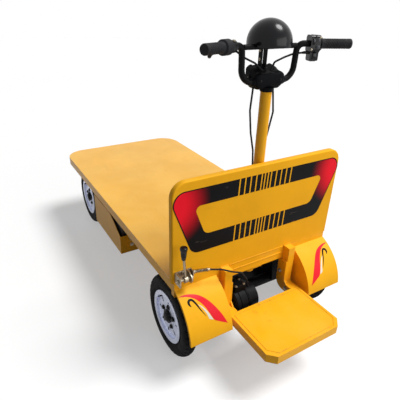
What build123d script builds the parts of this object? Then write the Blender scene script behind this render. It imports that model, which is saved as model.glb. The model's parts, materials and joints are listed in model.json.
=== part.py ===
from build123d import *
import math
import os

os.makedirs("parts", exist_ok=True)

# All sizes are in millimetres. X runs forward from the rear face of the rear panel,
# Y runs to the left and Z runs up from the floor.

# Deck and under-frame
DECK_LENGTH = 1600.0
DECK_WIDTH = 800.0
DECK_TOP = 416.0
SHEET = 3.0
RIM_DEPTH = 45.0
RIM_FLANGE = 25.0
DECK_CORNER = 120.0
TUBE = 40.0
RAIL_Y = 180.0
CROSS_REAR = (166.0, 286.0)

# Rear panel and skirt
PANEL_WIDTH = 817.0
PANEL_TOP = 832.0
PANEL_T = 22.0
PANEL_CORNER = 60.0
PANEL_EDGE_R = 6.0
SKIRT_BOTTOM = 351.0

# Foot plate and its arms
STEP_REACH = 349.0
STEP_FRONT = -83.0
STEP_TOP = 232.0
STEP_WIDTH = 375.0
STEP_DEPTH = 37.0
STEP_CHAMFER = 32.0
STEP_GROOVE = (12.0, 3.0, 1.2)
ARM = 36.0
ARM_BEND_R = 26.0
GUSSET = 6.0
GUSSET_FRONT = 14.0
GUSSET_R = 45.0

# Wheels
WHEEL_R = 180.0
TYRE_WIDTH = 60.0
RIM_FLANGE_R = 116.0
BEAD_R = 104.0
BARREL_R = 96.0
DISC_S = 10.0
DISC_T = 6.0
DISC_SLOTS = 8
DISC_SLOT = (26.0, 9.0)
DISC_SLOT_R = 76.0
HUB_R = 30.0
REAR_AXLE_X = 84.0
FRONT_OVERHANG = 257.0
REAR_TRACK = 734.0
FRONT_TRACK = 628.0
RUNNING = 0.05
LOOSE = 0.4

# Fenders
FENDER_R = 224.0
FENDER_SHEET = 2.0
FENDER_GAP = 20.5
FENDER_LOW = 209.0
FENDER_LIP = 9.0

# Rear axle and motor
AXLE_TUBE_R = 25.0
AXLE_TUBE_END = 300.0
SHAFT_R = 12.0
SHAFT_DEPTH = 40.0
DRUM_R = 72.0
MOTOR_X = -4.0
MOTOR_Z = 215.0
MOTOR_R = 65.0
MOTOR_Y = (56.0, 136.0)
MOTOR_BOX = (48.0, 54.0, 22.0)
GEARCASE_W = 40.0
BRACKET_W = 46.0
APRON_Z = (128.0, 206.0)
APRON_SHEET = 4.0
APRON_CLEAR = 5.0

# Front axle and steering linkage
BEAM = 50.0
KINGPIN_Y = 215.0
KINGPIN_R = 9.0
EYE_R = 22.0
EYE_HALF = 30.0
LUG_T = 14.0
LUG_GAP = 4.0
WEB_Y = 28.0
WEB_T = 12.0
SPINDLE_R = 10.0
STEER_ARM = 60.0
STEER_ARM_Z = 311.0
LINK_ARM_T = 10.0
LINK_GAP = 4.0
FRONT_BRACKET_Y = 93.0
LINK_R = 8.0
LINK_EYE_R = 14.0
EYE_RISE = 2.0
STUD_R = 6.0
TIE_ARM = 90.0
TIE_R = 7.0
TIE_GAP = 3.0

# Steering post and handlebar
POST_X = 50.0
POST_R = 21.0
POST_FOOT = 426.0
POST_HEAD = 1105.0
SHAFT_POST_R = 15.0
COLUMN_R = 27.0
COLUMN_Z = (340.0, 425.0)
BAR_R = 11.0
BAR_Z = 1252.0
RISER_TOP_Y = 122.0
RISER_FOOT_Y = 115.0
RISER_FOOT_Z = 1131.0
GRIP_END = (-22.0, 312.0, 1253.0)
BAR_TOP_BEND = 26.0
BAR_FOOT_BEND = 48.0
BRACE_Z = 1246.0
BRACE_R = 9.0
GRIP_R = 17.5
GRIP_LENGTH = 116.0
COLLAR_R = 24.5
COLLAR_LENGTH = 7.0
TWIST_LENGTH = 33.0
PERCH_R = 20.0
LEVER_TIP = 66.0
CROWN_X = (30.0, 102.0)
CROWN_HALF = 66.0
CROWN_REAR_Z = 1157.0
CROWN_FRONT_Z = 1182.0
KEY_R = 9.0
LAMP_X = 60.0
LAMP_R = 79.0
LAMP_RISE = 10.0
LAMP_FRONT = 40.0
LENS_EDGE = 6.0
LENS_SEAT = 10.0
LENS_BULGE = 7.0
STAY = (78.0, 96.0, 8.0, 5.0)
LEAD_R = 3.5

# Batteries
TRAY_PLACE = 0.61
TRAY_SHARE = 0.33
TRAY_INSET = 20.0
TRAY_Z = (153.0, 258.0)
TRAY_SIDE_TOP = 330.0
TRAY_SHOULDER = 140.0
STRAP = (40.0, 40.0, 5.0)
BATTERY_HEIGHT = 160.0
BATTERY_GAP = 12.0
BATTERY_CLEAR = 15.0
BATTERY_COUNT = 4
CONTROLLER = (140.0, 130.0, 62.0)
CONTROLLER_INSET = 50.0

# Hand lever
LEVER_INSET = 18.0
LEVER_LEAN = 16.0
LEVER_PIVOT = (-28.0, 444.0)
LEVER_TOP = (-40.0, 560.0)
LEVER_ROD_R = 5.0
LEVER_DISC_R = 19.0
LEVER_PIN_R = 5.0
LEVER_PLATE_INSET = 2.0
LEVER_PLATE_SIZE = (70.0, 44.0, 5.0)
LEVER_PLATE_RISE = 8.0
KNOB_Z = (546.0, 602.0)
CABLE_R = 3.5

ROW_SHIFT = (STEP_REACH - DECK_LENGTH) / 2
FRONT_AXLE_X = DECK_LENGTH - FRONT_OVERHANG
WHEELBASE = FRONT_AXLE_X - REAR_AXLE_X
TRAY_MID = REAR_AXLE_X + TRAY_PLACE * WHEELBASE
TRAY_X = (TRAY_MID - TRAY_SHARE * WHEELBASE / 2, TRAY_MID + TRAY_SHARE * WHEELBASE / 2)
TRAY_Y = DECK_WIDTH / 2 - TRAY_INSET
FENDER_INNER_Y = STEP_WIDTH / 2 + FENDER_GAP
LAMP_Z = BRACE_Z + LAMP_RISE
LAMP_FACE_X = LAMP_X + LAMP_FRONT
LENS_R = math.sqrt(LAMP_R ** 2 - LAMP_FRONT ** 2) - LENS_EDGE
BOX_Y = (MOTOR_Y[0] + MOTOR_Y[1]) / 2
CASE_Y = MOTOR_Y[0] - GEARCASE_W / 2
LEVER_Y = DECK_WIDTH / 2 - LEVER_INSET
LEVER_FOOT_Y = LEVER_Y - LEVER_LEAN
LEVER_PLATE_Y = (DECK_WIDTH / 2 - LEVER_PLATE_INSET - LEVER_PLATE_SIZE[0], DECK_WIDTH / 2 - LEVER_PLATE_INSET)
LEVER_PLATE_Z = (DECK_TOP + LEVER_PLATE_RISE, DECK_TOP + LEVER_PLATE_RISE + LEVER_PLATE_SIZE[1])
CROSS_X = (REAR_AXLE_X + CROSS_REAR[0], REAR_AXLE_X + CROSS_REAR[1], TRAY_X[0] + TUBE / 2,
           TRAY_X[1] - TUBE / 2, FRONT_AXLE_X, DECK_LENGTH - DECK_CORNER - TUBE / 2)
CONTROLLER_X = CROSS_X[1] - CONTROLLER[0] / 2
CONTROLLER_Y = CONTROLLER_INSET - DECK_WIDTH / 2
RIM_LOW = DECK_TOP - RIM_DEPTH
SHEET_LOW = DECK_TOP - SHEET
TUBE_LOW = SHEET_LOW - TUBE
LEFT_RIGHT = (("left", 1), ("right", -1))


def block(x0, x1, y0, y1, z0, z1):
    centre = Pos((x0 + x1) / 2, (y0 + y1) / 2, (z0 + z1) / 2)
    return centre * Box(x1 - x0, abs(y1 - y0), z1 - z0)


def drum(x, z, r, y0, y1):
    """A cylinder lying across the cart."""
    return Pos(x, (y0 + y1) / 2, z) * Rot(90, 0, 0) * Cylinder(r, abs(y1 - y0))


def column(x, y, r, z0, z1):
    """A standing cylinder."""
    return Pos(x, y, (z0 + z1) / 2) * Cylinder(r, z1 - z0)


def rod(start, end, r):
    """A straight round bar between two points."""
    run = Vector(*end) - Vector(*start)
    return extrude(Plane(origin=start, z_dir=run) * Circle(r), run.length)


def pipe(points, r, bend):
    """A round bar bent along a line of points, to one radius or one for each corner."""
    path = FilletPolyline(*points, radius=bend)
    return sweep(Plane(origin=path @ 0, z_dir=path % 0) * Circle(r), path=path)


def side_plate(points, y0, y1):
    """A flat plate cut to a side-view outline."""
    outline = Plane.XZ * make_face(Polyline(*points, close=True))
    return Pos(0, max(y0, y1), 0) * extrude(outline, abs(y1 - y0))


def lever_plate(start, end, r, z0, z1):
    """A flat arm with round ends, seen from above."""
    ends = column(*start, r, z0, z1) + column(*end, r, z0, z1)
    run = Vector(end[0] - start[0], end[1] - start[1], 0)
    angle = math.degrees(math.atan2(run.Y, run.X))
    middle = Pos((start[0] + end[0]) / 2, (start[1] + end[1]) / 2, (z0 + z1) / 2)
    return ends + middle * Rot(0, 0, angle) * Box(run.length, 2 * r, z1 - z0)


def mirrored(shape, side):
    return shape if side > 0 else mirror(shape, about=Plane.XZ)


# Deck and under-frame

def deck_plan(inset):
    """The deck's outline from above, moved in by an inset."""
    x0, x1 = PANEL_T, DECK_LENGTH - inset
    width = DECK_WIDTH - 2 * inset
    plan = Pos((x0 + x1) / 2, 0) * Rectangle(x1 - x0, width)
    front = plan.vertices().sort_by(Axis.X)[-2:]
    return fillet(front, DECK_CORNER - inset)


def deck_sheet():
    sheet = Pos(0, 0, SHEET_LOW) * extrude(deck_plan(0), SHEET)
    return sheet - column(POST_X, 0, COLUMN_R, SHEET_LOW - 1, DECK_TOP + 1)


def rim_channel():
    """The channel that runs round three sides under the sheet's edge."""
    web = extrude(deck_plan(0) - deck_plan(SHEET), SHEET_LOW - RIM_LOW)
    flange = extrude(deck_plan(0) - deck_plan(RIM_FLANGE), SHEET)
    top = Pos(0, 0, SHEET_LOW - RIM_LOW - SHEET) * flange
    return Pos(0, 0, RIM_LOW) * (web + flange + top)


def side_rails():
    half = DECK_WIDTH / 2
    end = DECK_LENGTH - DECK_CORNER
    left = rim_channel() & block(PANEL_T, end, half - RIM_FLANGE, half, RIM_LOW, SHEET_LOW)
    return [left, mirror(left, about=Plane.XZ)]


def front_rail():
    half = DECK_WIDTH / 2
    start = DECK_LENGTH - DECK_CORNER
    return rim_channel() & block(start, DECK_LENGTH, -half, half, RIM_LOW, SHEET_LOW)


def main_rails():
    end = DECK_LENGTH - RIM_FLANGE
    left = block(PANEL_T, end, RAIL_Y - TUBE / 2, RAIL_Y + TUBE / 2, TUBE_LOW, SHEET_LOW)
    return [left, mirror(left, about=Plane.XZ)]


def crossmembers():
    """Each cross tube is a middle piece and an outrigger on each side of the rails."""
    inner = RAIL_Y - TUBE / 2
    outer = RAIL_Y + TUBE / 2
    edge = DECK_WIDTH / 2 - RIM_FLANGE
    pieces = []
    for x in CROSS_X:
        for y0, y1 in ((-edge, -outer), (-inner, inner), (outer, edge)):
            pieces.append(block(x - TUBE / 2, x + TUBE / 2, y0, y1, TUBE_LOW, SHEET_LOW))
    return pieces


# Rear panel, skirt and fenders

def rear_panel():
    """A flat panel with rounded upper corners and a rounded edge all round its rear face."""
    face = Pos(0, (PANEL_TOP + DECK_TOP) / 2) * Rectangle(PANEL_WIDTH, PANEL_TOP - DECK_TOP)
    upper = face.vertices().sort_by(Axis.Y)[-2:]
    panel = extrude(Plane.YZ * fillet(upper, PANEL_CORNER), PANEL_T)
    edges = panel.faces().sort_by(Axis.X)[0].edges().filter_by_position(Axis.Z, DECK_TOP + 1, PANEL_TOP)
    return fillet(edges, PANEL_EDGE_R)


def rear_skirt():
    half = DECK_WIDTH / 2
    return block(0, PANEL_T, -half, half, SKIRT_BOTTOM, DECK_TOP)


def fender(side):
    """A curved guard closed on its inner side by a flat cheek."""
    outer = DECK_WIDTH / 2
    keep = block(-2 * FENDER_R, 0, FENDER_INNER_Y, outer, FENDER_LOW, 2 * FENDER_R)
    disc = drum(REAR_AXLE_X, WHEEL_R, FENDER_R, FENDER_INNER_Y, outer)
    hollow = drum(REAR_AXLE_X, WHEEL_R, FENDER_R - FENDER_SHEET, FENDER_INNER_Y + FENDER_SHEET,
                  outer - FENDER_SHEET)
    mouth = drum(REAR_AXLE_X, WHEEL_R, FENDER_R - FENDER_LIP, outer - 2 * FENDER_SHEET, outer + 1)
    return mirrored((disc - hollow - mouth) & keep, side)


# Foot plate

def foot_plate():
    """A shallow upturned pan with its two rear corners cut off."""
    x0, x1 = -STEP_REACH, STEP_FRONT
    half = STEP_WIDTH / 2

    def plan(inset):
        cut = STEP_CHAMFER
        a, b, h = x0 + inset, x1 - inset, half - inset
        return make_face(Polyline((a, h - cut), (a + cut, h), (b, h), (b, -h), (a + cut, -h),
                                  (a, -h + cut), close=True))

    inset, width, depth = STEP_GROOVE
    pan = extrude(plan(0), STEP_DEPTH) - extrude(plan(SHEET), STEP_DEPTH - SHEET)
    pan -= Pos(0, 0, STEP_DEPTH - depth) * extrude(plan(inset) - plan(inset + width), depth)
    return Pos(0, 0, STEP_TOP - STEP_DEPTH) * pan


def step_arms():
    """Two square tubes down the skirt's rear face, bent back to the foot plate's front edge."""
    z = STEP_TOP - ARM / 2
    y = STEP_WIDTH / 2 - ARM / 2
    path = FilletPolyline((STEP_FRONT, y, z), (-ARM / 2, y, z), (-ARM / 2, y, DECK_TOP), radius=ARM_BEND_R)
    arm = sweep(Plane(origin=path @ 0, x_dir=(0, 1, 0), z_dir=path % 0) * Rectangle(ARM, ARM), path=path)
    return [arm, mirror(arm, about=Plane.XZ)]


def step_gussets():
    """A plate on the inside of each arm, with its lower front corner rounded."""
    inner = STEP_WIDTH / 2 - ARM
    low = STEP_TOP - STEP_DEPTH
    corner = (GUSSET_FRONT, low)
    outline = make_face(Polyline((STEP_FRONT + 3, low), corner, (GUSSET_FRONT, SKIRT_BOTTOM - 4),
                                 (-ARM, SKIRT_BOTTOM - 4), (-ARM, STEP_TOP + 18), (-ARM - 18, STEP_TOP),
                                 (STEP_FRONT + 3, STEP_TOP), close=True))
    outline = fillet(outline.vertices().sort_by_distance((*corner, 0))[0], GUSSET_R)
    left = Pos(0, inner, 0) * extrude(Plane.XZ * outline, GUSSET)
    return [left, mirror(left, about=Plane.XZ)]


# Batteries

def battery_tray():
    """An open tray whose side walls rise from a sloping shoulder at the rear."""
    x0, x1 = TRAY_X
    z0, z1 = TRAY_Z
    wall = ((x0, z0), (x1, z0), (x1, TRAY_SIDE_TOP), (x0 + TRAY_SHOULDER, TRAY_SIDE_TOP), (x0, z1))
    outside = block(x0, x1, -TRAY_Y, TRAY_Y, z0, z1)
    outside += side_plate(wall, -TRAY_Y, SHEET - TRAY_Y) + side_plate(wall, TRAY_Y - SHEET, TRAY_Y)
    inside = block(x0 + SHEET, x1 - SHEET, -TRAY_Y + SHEET, TRAY_Y - SHEET, z0 + SHEET, z1 + 1)
    return outside - inside


def tray_hangers():
    inset, width, t = STRAP
    y1 = TRAY_Y - inset
    straps = []
    for x in (TRAY_X[0] - t, TRAY_X[1]):
        for side in (1, -1):
            straps.append(block(x, x + t, side * (y1 - width), side * y1, TRAY_Z[0] + 30, SHEET_LOW - 5))
    return straps


def battery_pack():
    x0 = TRAY_X[0] + SHEET + BATTERY_CLEAR
    x1 = TRAY_X[1] - SHEET - BATTERY_CLEAR
    z = TRAY_Z[0] + SHEET
    row = 2 * (TRAY_Y - SHEET - BATTERY_CLEAR)
    pitch = (row + BATTERY_GAP) / BATTERY_COUNT
    half = (pitch - BATTERY_GAP) / 2
    cells = []
    for i in range(BATTERY_COUNT):
        y = (i - (BATTERY_COUNT - 1) / 2) * pitch
        cells.append(block(x0, x1, y - half, y + half, z, z + BATTERY_HEIGHT))
    return cells


def motor_controller():
    length, width, height = CONTROLLER
    return block(CONTROLLER_X, CONTROLLER_X + length, CONTROLLER_Y, CONTROLLER_Y + width,
                 TUBE_LOW - height, TUBE_LOW)


# Rear axle and drive

def rear_axle():
    """Axle tube with a gear case that also carries the motor's end."""
    tube = drum(REAR_AXLE_X, WHEEL_R, AXLE_TUBE_R, -AXLE_TUBE_END, AXLE_TUBE_END)
    y1 = MOTOR_Y[0]
    y0 = y1 - GEARCASE_W
    big = drum(REAR_AXLE_X, WHEEL_R, MOTOR_R, y0, y1)
    small = drum(MOTOR_X, MOTOR_Z, MOTOR_R - 8, y0, y1)
    run = Vector(MOTOR_X - REAR_AXLE_X, 0, MOTOR_Z - WHEEL_R)
    slope = math.degrees(math.atan2(run.Z, -run.X))
    waist = Pos((MOTOR_X + REAR_AXLE_X) / 2, (y0 + y1) / 2, (MOTOR_Z + WHEEL_R) / 2)
    bridge = waist * Rot(0, slope, 0) * Box(run.length, GEARCASE_W, 2 * MOTOR_R - 24)
    axle = tube + big + small + bridge
    for side in (1, -1):
        axle += drum(REAR_AXLE_X, WHEEL_R, DRUM_R, side * (AXLE_TUBE_END - 6), side * AXLE_TUBE_END)
        bore = drum(REAR_AXLE_X, WHEEL_R, SHAFT_R + RUNNING, side * (AXLE_TUBE_END - SHAFT_DEPTH - 2),
                    side * (AXLE_TUBE_END + 1))
        axle -= bore
    return axle


def drive_motor():
    y0, y1 = MOTOR_Y
    body = drum(MOTOR_X, MOTOR_Z, MOTOR_R, y0, y1)
    body = fillet(body.edges().group_by(Axis.Y)[-1], 10)
    for y in (y0 + 16, y1 - 28):
        body -= drum(MOTOR_X, MOTOR_Z, MOTOR_R + 1, y, y + 4) - drum(MOTOR_X, MOTOR_Z, MOTOR_R - 3, y, y + 4)
    length, width, height = MOTOR_BOX
    top = MOTOR_Z + MOTOR_R
    return body + block(MOTOR_X - length / 2, MOTOR_X + length / 2, BOX_Y - width / 2, BOX_Y + width / 2,
                        top - 12, top + height)


def axle_brackets():
    outline = ((REAR_AXLE_X - 14, TUBE_LOW), (REAR_AXLE_X + 70, TUBE_LOW),
               (REAR_AXLE_X + 34, WHEEL_R), (REAR_AXLE_X - 34, WHEEL_R))
    left = side_plate(outline, RAIL_Y - BRACKET_W / 2, RAIL_Y + BRACKET_W / 2)
    left -= drum(REAR_AXLE_X, WHEEL_R, AXLE_TUBE_R, RAIL_Y - BRACKET_W, RAIL_Y + BRACKET_W)
    return left + mirror(left, about=Plane.XZ) + axle_apron()


def axle_apron():
    """A bent plate from bracket to bracket, ahead of the gear case."""
    x0 = REAR_AXLE_X + AXLE_TUBE_R + APRON_CLEAR
    x1 = REAR_AXLE_X + MOTOR_R + APRON_CLEAR
    half = RAIL_Y - BRACKET_W / 2
    plate = block(x1, x1 + APRON_SHEET, -half, half, *APRON_Z)
    for side in (1, -1):
        y0, y1 = sorted((side * half, side * (half - APRON_SHEET)))
        plate += block(x0, x1 + APRON_SHEET, y0, y1, *APRON_Z)
    return plate


# Wheels

def tyre(x, y):
    half = TYRE_WIDTH / 2
    crown = WHEEL_R - 10
    bead = half - 10
    base = half - 8
    shoulder = half - 6
    middle = (BEAD_R + WHEEL_R) / 2 + 4
    outline = (
        Line((BEAD_R, -bead), (BEAD_R, bead))
        + Line((BEAD_R, bead), (BEAD_R + 14, base))
        + ThreePointArc((BEAD_R + 14, base), (middle, half), (crown, shoulder))
        + ThreePointArc((crown, shoulder), (WHEEL_R, 0), (crown, -shoulder))
        + ThreePointArc((crown, -shoulder), (middle, -half), (BEAD_R + 14, -base))
        + Line((BEAD_R + 14, -base), (BEAD_R, -bead))
    )
    return Pos(x, y, WHEEL_R) * revolve(make_face(outline), Axis.Y)


def wheel_rim():
    """A pressed rim with a slotted disc, its outer side towards +Y."""
    half = TYRE_WIDTH / 2 - 3
    bead = half - 5
    outline = Polyline((BARREL_R, -half), (RIM_FLANGE_R, -half), (RIM_FLANGE_R, 4 - half),
                       (BEAD_R, -bead), (BEAD_R, bead), (RIM_FLANGE_R, half - 4),
                       (RIM_FLANGE_R, half), (BARREL_R, half), close=True)
    rim = revolve(make_face(outline), Axis.Y)
    disc = drum(0, 0, BARREL_R + 2, DISC_S, DISC_S + DISC_T)
    disc -= drum(0, 0, HUB_R, DISC_S - 1, DISC_S + DISC_T + 1)
    length, width = DISC_SLOT
    slot = Pos(DISC_SLOT_R, DISC_S + DISC_T / 2, 0) * Box(length, DISC_T + 2, width)
    for i in range(DISC_SLOTS):
        disc -= Rot(0, 360 * i / DISC_SLOTS, 0) * slot
    return rim + disc


def rear_hub():
    """Hub, brake drum and the shaft that runs into the axle tube."""
    reach = REAR_TRACK / 2 - AXLE_TUBE_END
    gap = 5.0
    hub = drum(0, 0, HUB_R, gap - reach, DISC_S + DISC_T + 8)
    hub += drum(0, 0, DRUM_R - 4, gap - reach, DISC_S - 8)
    hub += drum(0, 0, HUB_R + 16, DISC_S - 8, DISC_S)
    return hub + drum(0, 0, SHAFT_R, -reach - SHAFT_DEPTH, gap - reach)


def front_hub():
    """Hub that turns on the knuckle's spindle."""
    hub = drum(0, 0, HUB_R, -38, DISC_S + DISC_T + 8)
    hub += drum(0, 0, HUB_R + 16, DISC_S - 8, DISC_S)
    return hub - drum(0, 0, SPINDLE_R + RUNNING, -40, DISC_S + DISC_T - 4)


# Front axle, knuckles and links

def front_axle():
    half = BEAM / 2
    end = KINGPIN_Y - EYE_R
    beam = block(FRONT_AXLE_X - half, FRONT_AXLE_X + half, -end, end, WHEEL_R - half, WHEEL_R + half)
    for side in (1, -1):
        y = side * KINGPIN_Y
        beam += column(FRONT_AXLE_X, y, EYE_R, WHEEL_R - EYE_HALF, WHEEL_R + EYE_HALF)
        beam += block(FRONT_AXLE_X - EYE_R, FRONT_AXLE_X + EYE_R, y - side * (EYE_R + 6), y,
                      WHEEL_R - half, WHEEL_R + half)
        beam -= column(FRONT_AXLE_X, y, KINGPIN_R + RUNNING, 0, 2 * WHEEL_R)
    return beam


def front_brackets():
    outline = ((FRONT_AXLE_X - 50, TUBE_LOW), (FRONT_AXLE_X + 50, TUBE_LOW),
               (FRONT_AXLE_X + BEAM / 2, WHEEL_R + BEAM / 2), (FRONT_AXLE_X - BEAM / 2, WHEEL_R + BEAM / 2))
    left = side_plate(outline, FRONT_BRACKET_Y - BRACKET_W / 2, FRONT_BRACKET_Y + BRACKET_W / 2)
    return [left, mirror(left, about=Plane.XZ)]


def knuckle(side):
    """Fork, kingpin, spindle and tie-rod arm; the left one also has the top lever."""
    x, y = FRONT_AXLE_X, KINGPIN_Y
    low = WHEEL_R - EYE_HALF - LUG_GAP - LUG_T
    high = WHEEL_R + EYE_HALF + LUG_GAP + LUG_T
    fork = block(x - EYE_R, x + EYE_R, y + WEB_Y, y + WEB_Y + WEB_T, low, high)
    for z in (low, high - LUG_T):
        fork += lever_plate((x, y), (x, y + WEB_Y), EYE_R - 2, z, z + LUG_T) - block(
            x - BEAM, x + BEAM, y + WEB_Y + WEB_T, y + BEAM * 2, z, z + LUG_T)
    fork += drum(x, WHEEL_R, SPINDLE_R, y + WEB_Y, FRONT_TRACK / 2 + DISC_S)
    top = STEER_ARM_Z + LINK_ARM_T if side > 0 else high + 6
    fork += column(x, y, KINGPIN_R, low - 6, top)
    tie = (x - TIE_ARM, y)
    fork += lever_plate((x, y), tie, 13, low + 2, low + 2 + LINK_ARM_T)
    fork -= column(*tie, STUD_R + (RUNNING if side > 0 else LOOSE), low, high)
    if side > 0:
        end = (x, y - STEER_ARM)
        fork += lever_plate((x, y), end, LINK_EYE_R, STEER_ARM_Z, STEER_ARM_Z + LINK_ARM_T)
        fork -= column(*end, STUD_R + LOOSE, STEER_ARM_Z - 1, STEER_ARM_Z + LINK_ARM_T + 1)
    return mirrored(fork, side)


def tie_rod():
    x = FRONT_AXLE_X - TIE_ARM
    low = WHEEL_R - EYE_HALF - LUG_GAP - LUG_T + 2
    z = low - TIE_GAP - TIE_R - EYE_RISE
    link = rod((x, -KINGPIN_Y, z), (x, KINGPIN_Y, z), TIE_R)
    for side in (1, -1):
        y = side * KINGPIN_Y
        link += column(x, y, LINK_EYE_R - 2, z - TIE_R - EYE_RISE, z + TIE_R + EYE_RISE)
        link += column(x, y, STUD_R, z, low + LINK_ARM_T + 4)
    return link


def drag_link():
    z = STEER_ARM_Z + LINK_ARM_T + LINK_GAP + LINK_R + EYE_RISE
    rear = (POST_X, -STEER_ARM)
    front = (FRONT_AXLE_X, KINGPIN_Y - STEER_ARM)
    link = rod((*rear, z), (*front, z), LINK_R)
    for x, y in (rear, front):
        link += column(x, y, LINK_EYE_R, z - LINK_R - EYE_RISE, z + LINK_R + EYE_RISE)
        link += column(x, y, STUD_R, STEER_ARM_Z - 4, z)
    return link


# Steering post and handlebar

def steering_post():
    """Tubular post on a shaft, with the steering arm on the shaft's foot."""
    post = column(POST_X, 0, POST_R, POST_FOOT, POST_HEAD)
    post += column(POST_X, 0, SHAFT_POST_R, STEER_ARM_Z, POST_FOOT)
    end = (POST_X, -STEER_ARM)
    post += lever_plate((POST_X, 0), end, LINK_EYE_R, STEER_ARM_Z, STEER_ARM_Z + LINK_ARM_T)
    post += column(POST_X, 0, SHAFT_POST_R + 8, STEER_ARM_Z, STEER_ARM_Z + LINK_ARM_T)
    return post - column(*end, STUD_R + RUNNING, STEER_ARM_Z - 1, STEER_ARM_Z + LINK_ARM_T + 1)


def column_bearing():
    z0, z1 = COLUMN_Z
    return column(POST_X, 0, COLUMN_R, z0, z1) - column(POST_X, 0, SHAFT_POST_R + RUNNING, z0, z1)


def bar_tube():
    ex, ey, ez = GRIP_END
    points = ((ex, ey, ez), (POST_X, RISER_TOP_Y, BAR_Z), (POST_X, RISER_FOOT_Y, RISER_FOOT_Z),
              (POST_X, -RISER_FOOT_Y, RISER_FOOT_Z), (POST_X, -RISER_TOP_Y, BAR_Z), (ex, -ey, ez))
    return pipe(points, BAR_R, (BAR_TOP_BEND, BAR_FOOT_BEND, BAR_FOOT_BEND, BAR_TOP_BEND))


def brace():
    y = RISER_TOP_Y - BAR_R / 2
    return rod((POST_X, -y, BRACE_Z), (POST_X, y, BRACE_Z), BRACE_R)


def handlebar():
    """A bar bent to a U, with a brace between the tops of its risers."""
    return bar_tube() + brace()


def crown_body():
    x0, x1 = CROWN_X
    outline = ((x0, POST_HEAD + 14), (x0, CROWN_REAR_Z), (x1, CROWN_FRONT_Z), (x1, POST_HEAD + 26),
               (x1 - 18, POST_HEAD), (x0 + 10, POST_HEAD))
    body = side_plate(outline, -CROWN_HALF, CROWN_HALF)
    low = body.faces().sort_by(Axis.Z)[0].edges().filter_by(Axis.X)
    body = chamfer(low, 20)
    top = body.edges().filter_by(GeomType.LINE).sort_by(Axis.Z)[-1:]
    return fillet(top, 6)


def crown_cover():
    """A wedge-shaped cover over the joint of post and handlebar, with a key lock on its left."""
    x = (CROWN_X[0] + CROWN_X[1]) / 2 + 6
    lock = drum(x, CROWN_REAR_Z - 12, KEY_R, CROWN_HALF - 2, CROWN_HALF + 5)
    return crown_body() - bar_tube() + lock


def lamp_solid():
    """A ball cut flat below, at the middle of the brace, and in front."""
    ball = Pos(LAMP_X, 0, LAMP_Z) * Sphere(LAMP_R)
    return ball & block(LAMP_X - LAMP_R, LAMP_FACE_X, -LAMP_R, LAMP_R, BRACE_Z, LAMP_Z + LAMP_R)


def lens_form(x0, x1):
    """A disc between two planes, cut flat below like the lamp's front."""
    disc = rod((x0, 0, LAMP_Z), (x1, 0, LAMP_Z), LENS_R)
    return disc & block(x0, x1, -LENS_R, LENS_R, BRACE_Z + LENS_EDGE, LAMP_Z + LENS_R)


def headlamp_shell():
    """The cut ball with a seat for the lens in its front and a groove for the brace below."""
    return lamp_solid() - lens_form(LAMP_FACE_X - LENS_SEAT, LAMP_FACE_X + 1) - brace()


def headlamp_lens():
    """A lens with a domed front, seated in the shell's face."""
    x1 = LAMP_FACE_X + LENS_BULGE
    dome_r = (LENS_R ** 2 + LENS_BULGE ** 2) / (2 * LENS_BULGE)
    return lens_form(LAMP_FACE_X - LENS_SEAT, x1) & Pos(x1 - dome_r, 0, LAMP_Z) * Sphere(dome_r)


def lamp_stays():
    """Two plates from the crown's sloping top to the lamp's underside."""
    x0, x1, y, t = STAY
    stays = []
    for side in (1, -1):
        plate = block(x0, x1, side * y, side * (y + t), CROWN_REAR_Z, BRACE_Z)
        stays.append(plate - brace() - crown_body())
    return stays


def along_bar(side, distance):
    """A point on the straight grip length, measured in from the bar's end."""
    end = Vector(GRIP_END[0], side * GRIP_END[1], GRIP_END[2])
    top = Vector(POST_X, side * RISER_TOP_Y, BAR_Z)
    return end + (top - end).normalized() * distance


def bar_plane(side, distance):
    here = along_bar(side, distance)
    return Plane(origin=here, x_dir=(0, 0, 1), z_dir=here - along_bar(side, 0))


def grip(side):
    """A sleeve and its collar; the left collar is the long barrel of the twist throttle."""
    end = GRIP_LENGTH + COLLAR_LENGTH
    start = end - (TWIST_LENGTH if side > 0 else COLLAR_LENGTH)
    sleeve = extrude(bar_plane(side, 0.001) * (Circle(GRIP_R) - Circle(BAR_R)), start)
    return sleeve + extrude(bar_plane(side, start) * (Circle(COLLAR_R) - Circle(BAR_R)), end - start)


def switch_block():
    """Throttle and switch housing clamped on the right of the bar."""
    plane = bar_plane(-1, GRIP_LENGTH + 9)
    body = extrude(plane * RectangleRounded(58, 46, 12), 36)
    body += extrude(plane * (Pos(-38, 2) * RectangleRounded(40, 34, 8)), 32)
    return body - extrude(plane * Circle(BAR_R), 36)


def brake_lever():
    """Perch clamped on the left of the bar, with a blade before the grip."""
    plane = bar_plane(1, GRIP_LENGTH + 10)
    perch = extrude(plane * Circle(PERCH_R), 28)
    perch += extrude(plane * (Pos(-14, -26) * RectangleRounded(16, 30, 5)), 22)
    perch -= extrude(plane * Circle(BAR_R), 28)
    start = plane.from_local_coords((-14, -34, 10))
    bend = bar_plane(1, GRIP_LENGTH - 12).from_local_coords((-18, -44, 0))
    tip = bar_plane(1, LEVER_TIP).from_local_coords((-26, -30, 0))
    return perch + pipe((tuple(start), tuple(bend), tuple(tip)), 5, 20)


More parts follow.
